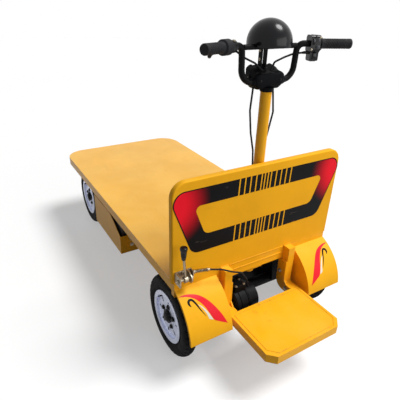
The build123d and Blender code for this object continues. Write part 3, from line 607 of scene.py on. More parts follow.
def repeated(name, bm, finish, count, start, step=(0, 0, 0), axis=(0, 0, 1), turn=0.0):
    """Copies of one shape on the chassis, in a row or a ring."""
    obj = new_piece(name, close_mesh(bm, name))
    grow(obj, "repeat", count=count, start=tuple(start), step=tuple(Vector(step) * MM), axis=axis, turn=turn,
         material=FINISH[finish])
    settle(obj, "chassis")


# Sizes and colours that a user would change

class CartColours(bpy.types.PropertyGroup):
    """Colours as they look on screen."""
    yellow: FloatVectorProperty(name="Yellow", description="Enamel of deck, panel and fenders", size=3,
                                min=0, max=1, default=(0.99, 0.715, 0.12), subtype="COLOR_GAMMA")
    red: FloatVectorProperty(name="Red", description="Red of the panel's print", size=3, min=0, max=1,
                             default=(0.97, 0.11, 0.18), subtype="COLOR_GAMMA")
    black: FloatVectorProperty(name="Black", description="Black of bar, axles and levers", size=3,
                               min=0, max=1, default=(0.035, 0.035, 0.045), subtype="COLOR_GAMMA")
    # The silver's near-white level and blue cast are partly painted light: a painted reflection of bright
    # blue sky on the shaded rims, over the rims' own silver paint.
    silver: FloatVectorProperty(name="Silver", description="Painted wheel rims", size=3, min=0, max=1,
                                default=(0.90, 0.92, 1.0), subtype="COLOR_GAMMA")


class CartTread(bpy.types.PropertyGroup):
    """The tyres' tread."""
    depth: FloatProperty(name="Groove depth", description="Depth of the tread grooves", default=0.0045,
                         min=0.0, max=0.008, unit="LENGTH", subtype="DISTANCE")
    blocks: IntProperty(name="Blocks", description="Tread blocks round the tyre", default=36, min=12, max=60)


class CartFittings(bpy.types.PropertyGroup):
    """Bolts, welds and grips."""
    bolt_head: FloatProperty(name="Bolt head", description="Corner radius of a bolt's head", default=0.0075,
                             min=0.002, unit="LENGTH", subtype="DISTANCE")
    bolt_height: FloatProperty(name="Bolt height", description="Height of a bolt's head", default=0.005,
                               min=0.001, unit="LENGTH", subtype="DISTANCE")
    washer: FloatProperty(name="Washer", description="Radius of the washer under a bolt", default=0.0105,
                          min=0.002, unit="LENGTH", subtype="DISTANCE")
    weld: FloatProperty(name="Weld", description="Radius of a weld bead", default=0.0026,
                        min=0.001, unit="LENGTH", subtype="DISTANCE")
    knurl: FloatProperty(name="Grip knurl", description="Height of the diamonds on the grips", default=0.0018,
                         min=0.0, max=0.003, unit="LENGTH", subtype="DISTANCE")


class CartStage(bpy.types.PropertyGroup):
    """The lights."""
    sun: FloatProperty(name="Key light", description="Strength of the key light", default=2.9, min=0.0)
    sky: FloatProperty(name="Fill light", description="Strength of the light from all round", default=0.16,
                       min=0.0)
    side: FloatProperty(name="Side light", description="Power of the soft box on the right", default=22.0,
                        min=0.0)
    soft: FloatProperty(name="Softness", description="Width of the key light as seen from the cart",
                        default=math.radians(24), subtype="ANGLE")


# Stage and finishes

FLOOR_R, FLOOR_Z = 14.0, -0.0005
FLOOR_SEEN, FLOOR_UNSEEN, FLOOR_GLOW = (0.60, 0.62), 0.28, 0.40
KEY_AIM = (0.22, 0.45, -0.87)
BOX_PLACE, BOX_AIM, BOX_SIZE = (-1900, -900, 1500), (0, 0, 650), (2.2, 1.2)
EYE, EYE_TURN = (-1057.0, 953.3, 1386.2), (-31.875, -27.083, 1.819)
SENSOR, FOCAL_PIXELS, PICTURE_PIXELS, NEAR_CLIP = 36.0, 395, 400, 0.05


class CART_OT_stage(bpy.types.Operator):
    """Sets the pale floor, the soft light and the camera."""
    bl_idname = "cart.stage"
    bl_label = "Stage"

    def execute(self, context):
        context.scene.view_settings.view_transform = "Standard"
        self.floor()
        self.light(context.scene)
        self.camera(context.scene)
        return {"FINISHED"}

    def floor(self):
        bm = bmesh.new()
        bmesh.ops.create_circle(bm, cap_ends=True, segments=96, radius=FLOOR_R)
        tree, shader = blank("floor_pale", Roughness=0.9, Specular_IOR_Level=0.1, Emission_Strength=1.0)
        seen = shown_rays(tree)
        tone = mix_colour(tree, noise(tree, 0.8), grey(FLOOR_SEEN[0]), grey(FLOOR_SEEN[1]))
        tree.links.new(mix_colour(tree, seen, grey(FLOOR_UNSEEN), tone), shader.inputs["Base Color"])
        tree.links.new(mix_colour(tree, seen, grey(0.0), grey(FLOOR_GLOW)), shader.inputs["Emission Color"])
        floor = new_piece("floor", close_mesh(bm, "floor"), ["floor_pale"])
        floor.location.z = FLOOR_Z

    def lamp(self, scene, name, kind, energy, aim):
        obj = bpy.data.objects.new(name, bpy.data.lights.new(name, kind))
        obj.data.energy = energy
        obj.rotation_euler = aim.to_track_quat("-Z", "Y").to_euler()
        scene.collection.objects.link(obj)
        return obj

    def light(self, scene):
        stage = scene.cart_stage
        key = self.lamp(scene, "key_light", "SUN", stage.sun, Vector(KEY_AIM))
        key.data.angle = stage.soft
        box = self.lamp(scene, "soft_box", "AREA", stage.side, at(*BOX_AIM) - at(*BOX_PLACE))
        box.location = at(*BOX_PLACE)
        box.data.shape = "RECTANGLE"
        box.data.size, box.data.size_y = BOX_SIZE
        world = bpy.data.worlds.new("pale_surround")
        world.use_nodes = True
        tree = world.node_tree
        level = remap(tree, shown_rays(tree), 0.0, 1.0, stage.sky, 1.0)
        tree.links.new(level, tree.nodes["Background"].inputs["Strength"])
        tree.nodes["Background"].inputs["Color"].default_value = grey(1.0)
        scene.world = world

    def camera(self, scene):
        yaw, pitch, roll = (math.radians(a) for a in EYE_TURN)
        ahead = Vector((math.cos(pitch) * math.cos(yaw), math.cos(pitch) * math.sin(yaw), math.sin(pitch)))
        right = ahead.cross(UP).normalized()
        up = right.cross(ahead)
        across = right * math.cos(roll) + up * math.sin(roll)
        above = up * math.cos(roll) - right * math.sin(roll)
        lens = bpy.data.cameras.new("photo_view")
        lens.sensor_width = SENSOR
        lens.lens = SENSOR * FOCAL_PIXELS / PICTURE_PIXELS
        lens.clip_start = NEAR_CLIP
        camera = bpy.data.objects.new("photo_view", lens)
        turn = Matrix((across, above, -ahead)).transposed().to_4x4()
        camera.matrix_world = Matrix.Translation(at(*EYE)) @ turn
        scene.collection.objects.link(camera)
        scene.camera = camera


class CART_OT_finishes(bpy.types.Operator):
    """Makes every finish and paints the solids of the frame."""
    bl_idname = "cart.finishes"
    bl_label = "Finishes"

    def execute(self, context):
        for make_group in (paint_skin_group, rubbed_edge_group, settled_dust_group, scuff_group,
                           moulded_grain_group):
            make_group()
        TREES.update(bolt=bolt_tree(), repeat=repeat_tree(), weld=weld_tree())
        colours = context.scene.cart_colours
        self.paints(tuple(colours.yellow), tuple(colours.black))
        self.plastics()
        self.metals(tuple(colours.silver))
        printed_film("print_panel", PRINT_BLACK, fade=tuple(colours.red))
        printed_film("print_black", PRINT_BLACK)
        printed_film("print_red", (0.98, 0.17, 0.22))
        printed_film("print_white", (0.96, 0.94, 0.88))
        clear_glass()
        for part in frame["record"]["subparts"]:
            obj = frame["nodes"][part["node"]]
            obj.data.materials.clear()
            obj.data.materials.append(FINISH[part["material_slot"]])
        return {"FINISHED"}

    def paints(self, yellow, black):
        # Painted reflection: the deck's yellow is lifted towards white as a reflection of the pale surround,
        # added on top of the real sheen.
        enamel("deck_paint", toned(yellow, 0.94, 0.06), rough=0.36, dust=0.35, scuff=0.16,
               stretch=(1.0, 7.0, 7.0), wear=0.6, sheen=0.48)
        enamel("frame_paint", yellow, dust=0.15, scuff=0.2, stretch=(1.0, 8.0, 8.0), wear=0.8)
        enamel("panel_paint", yellow, rough=0.45, coat=0.0, dust=0.08, scuff=0.08,
               stretch=(6.0, 1.0, 5.0), wear=0.4)
        enamel("step_paint", yellow, rough=0.36, dust=0.15, scuff=0.25, stretch=(4.0, 4.0, 4.0), wear=0.8)
        enamel("tray_paint", yellow, dust=0.25, scuff=0.35, stretch=(4.0, 1.0, 6.0), wear=0.8)
        enamel("post_paint", yellow, rough=0.26, coat=0.12, dust=0.08, scuff=0.2, stretch=(8.0, 8.0, 1.0))
        enamel("black_paint", black, rough=0.48, coat=0.0, dust=0.12, scuff=0.3, stretch=(6.0, 1.0, 6.0))
        enamel("lever_black", black, rough=0.28, coat=0.2, dust=0.1, scuff=0.2)
        enamel("hub_black", (0.13, 0.13, 0.14), rough=0.4, dust=0.25, scuff=0.2)

    def plastics(self):
        moulded("black_plastic", (0.030, 0.034, 0.055), 0.22, 1500.0, 0.03, coat=0.15, dust=0.03)
        moulded("crown_plastic", (0.020, 0.024, 0.038), 0.5, 1200.0, 0.08, dust=0.02, sheen=0.05)
        moulded("grip_rubber", (0.125, 0.128, 0.14), 0.62, 1300.0, 0.15)
        moulded("battery_case", (0.33, 0.34, 0.35), 0.5, 800.0, 0.10, dust=0.3)
        moulded("button_grey", (0.42, 0.43, 0.45), 0.4, 1500.0, 0.06)
        moulded("cap_red", (0.66, 0.08, 0.07), 0.38, 1200.0, 0.06)
        tyre_rubber()

    def metals(self, silver):
        # The rim colour carries a painted reflection of bright blue sky in its near-white level and blue
        # cast.
        metal("rim_silver", silver, 0.4, metallic=0.7, brushed=(3.0, 3.0, 3.0), tarnish=(0.42, 0.42, 0.45),
              amount=0.25)
        metal("zinc_steel", (0.62, 0.58, 0.51), 0.42, tarnish=(0.40, 0.31, 0.20))
        metal("alloy_case", (0.68, 0.69, 0.70), 0.42, brushed=(40.0, 1.0, 1.0))
        metal("bright_chrome", (0.90, 0.90, 0.90), 0.08, brushed=(1.0, 1.0, 1.0), amount=0.1)
        metal("brass", (0.78, 0.62, 0.30), 0.3)


# Prints: a corner is its distance from the middle, its height and its radius

PANEL_OUTER = ((426.6, 796.0, 48.0), (323.6, 528.0, 45.0))
PANEL_INNER = ((319.0, 727.0, 20.0), (269.6, 601.0, 32.0))
PRINT_LEAN, PRINT_MIDDLE, CORNER_STEPS = 0.036, 663.0, 10
WIDE_BAR, NARROW_BAR, BAR_GAP = 19.9, 9.3, 6.1
BARS = [WIDE_BAR] * 4 + [NARROW_BAR] * 3 + [WIDE_BAR] * 4
FILM_LOW, FILM_LIFT = 0.05, 0.35
TRIM_LOW, TRIM_LIFT, TRIM_OUT, TRIM_IN = 0.08, FILM_LIFT + 0.15, -0.1, 5.0


def round_corner(before, corner, after, radius):
    """Points on the arc that rounds one corner."""
    a, b = (before - corner).normalized(), (after - corner).normalized()
    half = a.angle(b) / 2
    centre = corner + (a + b).normalized() * radius / math.sin(half)
    first = corner + a * radius / math.tan(half) - centre
    last = corner + b * radius / math.tan(half) - centre
    shares = [i / CORNER_STEPS for i in range(CORNER_STEPS + 1)]
    return [centre + first.lerp(last, share).normalized() * radius for share in shares]


def leaning(y, z):
    """A point of the panel, moved over by the print's lean."""
    return Vector((y + PRINT_LEAN * (PRINT_MIDDLE - z), z))


def band_edge(side, corners, cut):
    """One edge of the print's C shape: along the top, round two corners and back along the bottom."""
    (ay, az, ar), (by, bz, br) = corners
    points = [leaning(cut, az), Vector((side * ay, az)), Vector((side * by, bz)), leaning(cut, bz)]
    return [points[0]] + round_corner(*points[:3], ar) + round_corner(*points[1:], br) + [points[3]]


class CART_OT_panel_print(bpy.types.Operator):
    """Lays the striped ring print on the rear panel."""
    bl_idname = "cart.panel_print"
    bl_label = "Panel print"

    def execute(self, context):
        width = sum(BARS) + BAR_GAP * (len(BARS) + 1)

        def on_panel(point, proud):
            return at(-proud, point[0], point[1])

        bm = bmesh.new()
        for side in BOTH:
            outer, inner = (band_edge(side, edge, side * width / 2) for edge in (PANEL_OUTER, PANEL_INNER))
            film(bm, between(outer, inner, 1), on_panel, FILM_LOW, FILM_LIFT)
            edge, trim = inset(outer, inner, TRIM_OUT), inset(outer, inner, TRIM_IN)
            film(bm, between(edge, trim, 1), on_panel, TRIM_LOW, TRIM_LIFT, 1)
        for outer_corner, inner_corner in zip(PANEL_OUTER, PANEL_INNER):
            heights = outer_corner[1], inner_corner[1]
            y = width / 2 - BAR_GAP
            for bar in BARS:
                left, right = ([leaning(edge, z) for z in heights] for edge in (y, y - bar))
                film(bm, between(left, right, 1), on_panel, FILM_LOW, FILM_LIFT, 1)
                y -= bar + BAR_GAP
        make("panel_print", bm, ["print_panel", "print_black"], "chassis")
        return {"FINISHED"}


# Fender prints: a point is its angle up round the wheel and its distance from the middle

FENDER_R, FENDER_EDGE, DEGREE = 224.0, 399.0, 3.91
RED_UPPER = ((59.1, 398), (59.5, 378), (58.5, 354), (55.7, 326), (51.3, 304), (45.1, 284), (37.3, 265),
             (28.5, 247), (17.7, 229))
RED_LOWER = ((59.1, 398), (57.3, 371), (54.1, 347), (48.8, 326), (42.0, 310), (34.9, 299), (26.9, 286),
             (23.4, 268), (17.7, 229))
WHITE_UPPER = ((46.6, 336), (43.7, 323), (38.5, 309), (32.0, 297), (26.9, 289))
WHITE_LOWER = ((46.6, 336), (43.4, 327), (40.2, 320), (35.0, 311), (29.1, 306))
HOOK = ((46.3, 363), (48.5, 368), (51.2, 368), (52.8, 361), (52.0, 351), (47.4, 341), (41.3, 332),
        (33.1, 316))
HOOK_WIDTHS = (0.9, 3.6, 4.8, 4.6, 4.2, 3.4, 2.2, 0.5)
SWEEP_LOW, SWEEP_LIFT, HOOK_LIFT, SWEEP_STEPS = 0.1, 0.5, 0.55, 40


def hook_edges():
    """Both edges of the hook, square to its line as it lies on the fender."""
    line = smooth(HOOK, SWEEP_STEPS)
    widths = smooth([(width, 0) for width in HOOK_WIDTHS], SWEEP_STEPS)
    left, right = [], []
    for i, point in enumerate(line):
        ahead = line[min(i + 1, SWEEP_STEPS - 1)] - line[max(i - 1, 0)]
        run = Vector((ahead[0] * DEGREE, ahead[1])).normalized()
        off = Vector((-run[1] / DEGREE, run[0])) * widths[i][0]
        left.append(point + off)
        right.append(point - off)
    return left, right


class CART_OT_fender_prints(bpy.types.Operator):
    """Lays a red sweep, its white edge and a black hook on each fender."""
    bl_idname = "cart.fender_prints"
    bl_label = "Fender prints"

    def execute(self, context):
        hub = middle("rear_left_tyre")
        for name, side in SIDES:
            def on_fender(point, proud):
                turn = math.radians(point[0])
                r = (FENDER_R + proud) * MM
                y = side * min(point[1], FENDER_EDGE) * MM
                return Vector((hub.x - r * math.cos(turn), y, hub.z + r * math.sin(turn)))

            bm = bmesh.new()
            for material, edges in enumerate(((RED_UPPER, RED_LOWER), (WHITE_UPPER, WHITE_LOWER))):
                upper, lower = (smooth(edge, SWEEP_STEPS) for edge in edges)
                film(bm, between(upper, lower, 8), on_fender, SWEEP_LOW, SWEEP_LIFT, material)
            film(bm, between(*hook_edges(), 3), on_fender, SWEEP_LOW, HOOK_LIFT, 2)
            finishes = ["print_red", "print_white", "print_black"]
            make(f"{name}_fender_print", bm, finishes, "chassis")
        return {"FINISHED"}


# Wheels: a groove is its middle, its swing and its half width; a profile is distances along and radii

GROOVES, GROOVE_EDGE = ((-8.5, 1.8, 1.4), (8.5, -1.8, 1.4), (0.0, 1.6, 1.1)), 0.6
NOTCH_FROM, NOTCH_DEPTH, NOTCH_SHARE = 14.0, 0.85, 0.30
BLOCK_STEPS, CROWN_STEPS, WALL_STEPS = 8, 20, 14
SHOULDER_IN, CROWN_DROP, WALL_DEPTH = 6.0, 10.0, 52.0
WALL_CURVE, WALL_WIDEST, WALL_RIDGES, RIDGE = 0.0103, 34.0, (3, 4, 10), 0.7
TYRE_BEAD = ((62.0, 8.2), (75.0, 10.0))
LUGS, LUG_RING, LUG_OUT, LUG_TURN = 5, 46, 16.2, 0.3
HUB_CAP = ((-1.5, 24), (2.5, 23.6), (3.5, 20), (7.0, 19), (9.5, 14), (10.4, 6), (10.6, 0))
RIM_RING = ((-0.5, 88.0), (1.6, 87.0), (2.0, 85.5), (1.4, 84.0), (-0.5, 83.2))
VALVE_STEM = ((0, 5.2), (5, 5.0), (8, 3.4), (15, 3.1), (15.2, 2.4), (18.6, 2.4))
VALVE_CAP = ((18.4, 3.0), (21.4, 3.0), (22.0, 2.2), (22.1, 0))
CAP_OUT, RING_OUT, VALVE_OUT, VALVE_RING, VALVE_TURN = 24, 16, 14, 90, 0.9


def tread_cut(s, step):
    """How deep the tread is cut, from 0 to 1, at a distance across it and a step round it."""
    phase = (step % BLOCK_STEPS) / BLOCK_STEPS
    wave = 4 * abs(phase - 0.5) - 1
    cut = 0.0
    for groove, swing, half in GROOVES:
        gap = abs(s - groove - swing * wave)
        cut = max(cut, min(1.0, max(0.0, (half + GROOVE_EDGE - gap) / GROOVE_EDGE)))
    if abs(s) > NOTCH_FROM:
        start = 0.0 if s > 0 else 0.5
        cut = max(cut, NOTCH_DEPTH if start <= phase < start + NOTCH_SHARE else 0.0)
    return cut


class CART_OT_tyres(bpy.types.Operator):
    """Builds tyres with a zigzag tread and ringed walls."""
    bl_idname = "cart.tyres"
    bl_label = "Tyres"

    def execute(self, context):
        tread = context.scene.cart_tread
        low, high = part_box("rear_left_tyre")
        radius = (high.z - low.z) / 2 / MM
        half = (high.y - low.y) / 2 / MM
        shoulder = half - SHOULDER_IN
        crown_r = (shoulder ** 2 + CROWN_DROP ** 2) / (2 * CROWN_DROP)
        crown = [shoulder * (i / CROWN_STEPS - 1) for i in range(2 * CROWN_STEPS + 1)]
        wall = []
        for i in range(1, WALL_STEPS):
            r = radius - CROWN_DROP - WALL_DEPTH * i / WALL_STEPS
            ridge = RIDGE if i in WALL_RIDGES else 0.0
            wall.append((r, half - RIDGE - WALL_CURVE * (r - radius + WALL_WIDEST) ** 2 + ridge))
        wall += [(radius - down, half - narrower) for down, narrower in TYRE_BEAD]
        rings = []
        for step, (cos, sin) in enumerate(circle(tread.blocks * BLOCK_STEPS)):
            section = []
            for s in crown:
                r = radius - crown_r + math.sqrt(crown_r ** 2 - s ** 2)
                section.append((r - tread_cut(s, step) * tread.depth / MM, s))
            section += wall + [(r, -s) for r, s in reversed(wall)]
            rings.append([Vector((r * cos, s, r * sin)) * MM for r, s in section])
        bm = bmesh.new()
        skin(bm, rings, loop=True)
        shared = close_mesh(bm, "tyre")
        for name, centre, out in wheels():
            mesh = shared.copy()
            mesh.transform(Matrix.Translation(centre))
            obj = new_piece(f"{name}_tread", mesh, ["tyre_rubber"])
            settle(obj, f"{name}_wheel", [f"{name}_tyre"], sharp=38)
        return {"FINISHED"}


class CART_OT_wheel_trim(bpy.types.Operator):
    """Adds lug nuts, a hub cap, a tyre valve and a pressed ring to every wheel."""
    bl_idname = "cart.wheel_trim"
    bl_label = "Wheel trim"

    def execute(self, context):
        for name, centre, out in wheels():
            body = f"{name}_wheel"
            rows = [(centre + out * LUG_OUT * MM + Vector((c, 0, s)) * LUG_RING * MM, out)
                    for c, s in circle(LUGS, LUG_TURN)]
            bolts(f"{name}_lug_nuts", body, rows, "hub_black", scale=1.15)
            bm = bmesh.new()
            lathe(bm, centre + out * CAP_OUT * MM, out, HUB_CAP, 40)
            lathe(bm, centre + out * RING_OUT * MM, out, RIM_RING, 72, 1)
            towards = Vector((math.cos(VALVE_TURN), 0, math.sin(VALVE_TURN)))
            valve = centre + towards * VALVE_RING * MM + out * VALVE_OUT * MM
            lathe(bm, valve, out, VALVE_STEM, 16, 2)
            lathe(bm, valve, out, VALVE_CAP, 16)
            make(f"{name}_hub_cap", bm, ["hub_black", "rim_silver", "grip_rubber"], body)
        return {"FINISHED"}


# Bar: a place is its distance along from the bar's end, how far up it is and how far across

GRIP_R, GRIP_STEPS = 17.4, 72
KNURL_FROM, KNURL_SHORT, KNURL_STEP = 9.0, 20.0, 1.3
DIAMOND, DIAMONDS_ROUND, DIAMOND_SIDE = 9.6, 9, 5.0
COLLAR = {1: 90.0, -1: 116.0}
GRIP_END = [(-2.2, 6.0), (-2.0, 13.5), (-0.6, 16.6), (2.0, GRIP_R), (8.0, GRIP_R)]
GRIP_FLANGE = ((-9.0, GRIP_R), (-4.0, 17.6), (-1.5, 19.0), (0.0, 22.6), (2.0, 24.3))
GRIP_FACE = [(121.0, 24.5), (122.6, 23.4), (123.0, 12.0)]
PERCH_AT, HOUSING_AT = 140, 143
PERCH = ((-14, 12), (-13.6, 18.6), (-12, 19.8), (-1.2, 20), (-0.6, 19), (0.6, 19), (1.2, 20), (12, 19.8),
         (13.6, 18.6), (14, 12))
LEVER_PATH = ((136, -14, -35), (122, -16, -42), (108, -18, -43), (92, -22, -38), (78, -25, -33),
              (69, -26, -30))
LEVER_STEPS, SWELL_FROM, SWELL_LENGTH, SWELL = 40, 0.92, 0.08, 0.35
LEVER_BALL = ((0, 0), (1.2, 4.2), (3.5, 6.2), (6, 6.8), (8.5, 6.2), (11, 4.0))
BALL_AT, BALL_BACK = (67, -26, -30), 6
CABLE_END, CABLE_NEXT, CABLE_BACK = (44, 182, 1243), (68, 134, 1234), 4
CABLE_ADJUSTER = ((0, 6.2), (9, 6.2), (9.5, 5.2), (13, 5.2), (13.5, 6.4), (18, 6.4), (18.6, 4.4), (27, 4.2),
                  (27.4, 3.6))
SWITCH_BOXES = (((134, 14, -23.5), (11, 5, 9), 2, 1), ((152, 8, -23.5), (20, 4, 9), 1.6, 0),
                ((152, 12, -26.0), (7, 4, 7), 1.4, 1), ((141, -40, -15.5), (22, 5, 15), 2, 0),
                ((141, -37, -18.4), (9, 4, 11), 1.6, 1), ((141, -58.4, 2), (2.4, 22, 20), 1.0, 0))
HORN_BUTTON = ((0, 7.4), (2.4, 7.2), (2.6, 5.6), (4.6, 5.4), (5.2, 4.4), (5.3, 0))
LEAD_END, LEAD_NEXT = (42, -166, 1222), (68, -128, 1216)
LEAD_SLEEVE = ((-5, 6.5), (4, 6.3), (5, 5.2), (9, 5.0), (10, 5.6), (12, 4.6), (16, 4.4), (17, 3.7))


class CART_OT_grips(bpy.types.Operator):
    """Builds the knurled rubber grips with their flanges."""
    bl_idname = "cart.grips"
    bl_label = "Grips"

    def execute(self, context):
        knurl = context.scene.cart_fittings.knurl / MM
        for name, side in SIDES:
            origin, axes = bar_frame(side, 0)
            collar = COLLAR[side]
            count = int((collar - KNURL_SHORT) / KNURL_STEP)
            profile = GRIP_END + [(KNURL_FROM + KNURL_STEP * i, None) for i in range(count)]
            profile += [(collar + along, radius) for along, radius in GRIP_FLANGE] + GRIP_FACE
            rings = []
            for distance, radius in profile:
                ring = []
                for k, (c, s) in enumerate(circle(GRIP_STEPS)):
                    r = radius or self.diamonds(distance / DIAMOND, DIAMONDS_ROUND * k / GRIP_STEPS, knurl)
                    ring.append(origin + axes @ (Vector((c * r, s * r, distance)) * MM))
                rings.append(ring)
            bm = bmesh.new()
            skin(bm, rings)
            make(f"{name}_grip_sleeve", bm, ["grip_rubber"], "steering", [f"{name}_grip"],
                 sharp=28)
        return {"FINISHED"}

    def diamonds(self, a, b, knurl):
        """The grip's radius at a share of a diamond along and round it."""
        u, v = abs((a + b) % 1 - 0.5), abs((a - b) % 1 - 0.5)
        return GRIP_R - knurl + knurl * min(1.0, DIAMOND_SIDE * min(0.5 - u, 0.5 - v))


class CART_OT_bar_controls(bpy.types.Operator):
    """Builds the brake lever with its perch, and the switches on the throttle housing."""
    bl_idname = "cart.bar_controls"
    bl_label = "Bar controls"

    def execute(self, context):
        self.brake()
        self.switches()
        return {"FINISHED"}

    def brake(self):
        origin, axes = bar_frame(1, PERCH_AT)
        up, inward = axes @ Vector((1, 0, 0)), axes @ UP
        bm = bmesh.new()
        lathe(bm, origin, inward, PERCH, 40)
        rounded_box(bm, on_bar(1, 137, -14, -27), (15, 30, 21), 4, axes)
        sizes = []
        for i in range(LEVER_STEPS):
            t = i / (LEVER_STEPS - 1)
            swell = 1.0
            if t >= SWELL_FROM:
                swell += SWELL * math.sin((t - SWELL_FROM) / SWELL_LENGTH * math.pi)
            sizes.append(((4.6 - 0.9 * t) * swell, (6.6 - 1.6 * t) * swell))
        tube(bm, smooth([on_bar(1, *place) for place in LEVER_PATH], LEVER_STEPS), sizes, 16)
        lathe(bm, on_bar(1, *BALL_AT) - axes @ Vector((0, 0, BALL_BACK * MM)), inward, LEVER_BALL, 20)
        lead = at(*CABLE_END)
        away = (at(*CABLE_NEXT) - lead).normalized()
        lathe(bm, lead - away * CABLE_BACK * MM, away, CABLE_ADJUSTER, 18, 1)
        make("brake_lever_set", bm, ["lever_black", "zinc_steel"], "steering", ["brake_lever"])
        rows = [(on_bar(1, 137, -21.8, -34), -up), (on_bar(1, 140, 17.6, 9), up)]
        bolts("brake_bolts", "steering", rows, scale=0.62)

    def switches(self):
        origin, axes = bar_frame(-1, HOUSING_AT)
        back = axes @ Vector((0, -1, 0))
        bm = bmesh.new()
        rounded_box(bm, origin, (59.4, 47.4, 1.6), 0.7, axes, segments=2)
        for place, size, bevel, material in SWITCH_BOXES:
            rounded_box(bm, on_bar(-1, *place), size, bevel, axes, material)
        lathe(bm, on_bar(-1, 134, -10, -22), back, HORN_BUTTON, 24, 1)
        lathe(bm, at(*LEAD_END), at(*LEAD_NEXT) - at(*LEAD_END), LEAD_SLEEVE, 18)
        make("switch_buttons", bm, ["black_plastic", "button_grey"], "steering")
        rows = [(on_bar(-1, *place), back) for place in ((128, 22, -22.8), (157, -18, -22.8))]
        bolts("switch_screws", "steering", rows, scale=0.38)


# Crown and lamp: a level is its height and its shares of the full half widths

CROWN_LEVELS = ((1105, 0.70, 0.72), (1106.5, 0.76, 0.75), (1112, 0.86, 0.82), (1119, 0.94, 0.91),
                (1126, 0.985, 0.98), (1133, 1.0, 1.0), (1142, 1.0, 1.0), (1152, 1.0, 1.0),
                (1156, 0.985, 0.99), (1158.5, 0.955, 0.97), (1160, 0.91, 0.94), (1160.4, 0.84, 0.88),
                (1160.4, 0.60, 0.66), (1160.4, 0.35, 0.4), (1160.4, 0.08, 0.1))
CROWN_X, CROWN_HALF_X, CROWN_HALF_Y, CROWN_SQUARE = 66, 36.0, 66.0, 0.24
CROWN_EASE_FROM, CROWN_EASE, CROWN_RISE, CROWN_SINK = 1112, 46, 24.0, 3.5
LOBE, LOBE_WAVES, FOLD, FOLD_X, FOLD_SKEW, FOLD_WIDTH = 3.2, 3.1, -4.0, 6, 0.12, 7.0
BAR_BOOT = ((0, 15.5), (5, 15.2), (7, 14.0), (9, 13.6), (10, 12.2), (13, 11.6))
POST_BOOT = ((0, 22.2), (0.6, 23.4), (6, 24.4), (13, 25.2))
KEY_LOCK = ((0, 11.2), (3.2, 11.0), (4.2, 10.0), (4.4, 7.6), (6.6, 7.2), (6.8, 0))
LAMP_ARC, LAMP_FLAT, LAMP_RINGS = 72, 24, 24
LAMP_RIM = ((1.0, 9.0), (1.0, 5.0), (1.03, 4.2), (1.065, 4.8), (1.075, 7.2), (1.075, 9.0))
LAMP_BULB = ((0.8, 8), (2.4, 7.6), (2.8, 5), (5.6, 5), (6.6, 3.4), (7, 0))
LENS_EDGE, LENS_RISE, LENS_BACK, FLUTE, FLUTE_PITCH = 7.0, 6.4, 9.5, 0.5, 8.0


class CART_OT_crown(bpy.types.Operator):
    """Builds the moulded crown cover with its lobed top, key lock and screws."""
    bl_idname = "cart.crown"
    bl_label = "Crown cover"

    def execute(self, context):
        rings = []
        for z, share_x, share_y in CROWN_LEVELS:
            lift = max(0.0, min(1.0, (z - CROWN_EASE_FROM) / CROWN_EASE))
            ring = []
            for c, s in circle(96):
                x = CROWN_HALF_X * math.copysign(abs(c) ** CROWN_SQUARE, c) * share_x
                y = CROWN_HALF_Y * math.copysign(abs(s) ** CROWN_SQUARE, s) * share_y
                lobe = LOBE * math.cos(y / CROWN_HALF_Y * LOBE_WAVES * math.pi) * lift ** 3
                fold = FOLD * math.exp(-((x + FOLD_X + y * FOLD_SKEW) / FOLD_WIDTH) ** 2) * lift ** 4
                slope = (x + CROWN_HALF_X) / (2 * CROWN_HALF_X) * CROWN_RISE - CROWN_SINK
                ring.append(at(CROWN_X + x, y, z + slope * lift + lobe + fold))
            rings.append(ring)
        bm = bmesh.new()
        skin(bm, rings)
        for side in BOTH:
            lathe(bm, at(COLUMN_X, side * 62, 1131), (0, side, 0), BAR_BOOT, 28)
        lathe(bm, at(COLUMN_X, 0, 1095), UP, POST_BOOT, 36)
        lathe(bm, at(72, 64, 1145), (0, 1, 0), KEY_LOCK, 28)
        rounded_box(bm, at(72, 70.6, 1145), (1.6, 1.4, 8.4), 0.3, material=1, segments=1)
        make("crown_shell", bm, ["crown_plastic", "zinc_steel"], "steering", ["crown_cover"],
             sharp=50)
        rows = [(at(30.4, y, 1136), (-1, 0, 0)) for y in (-44, 44)]
        bolts("crown_screws", "steering", rows, "black_plastic", scale=0.45)
        return {"FINISHED"}


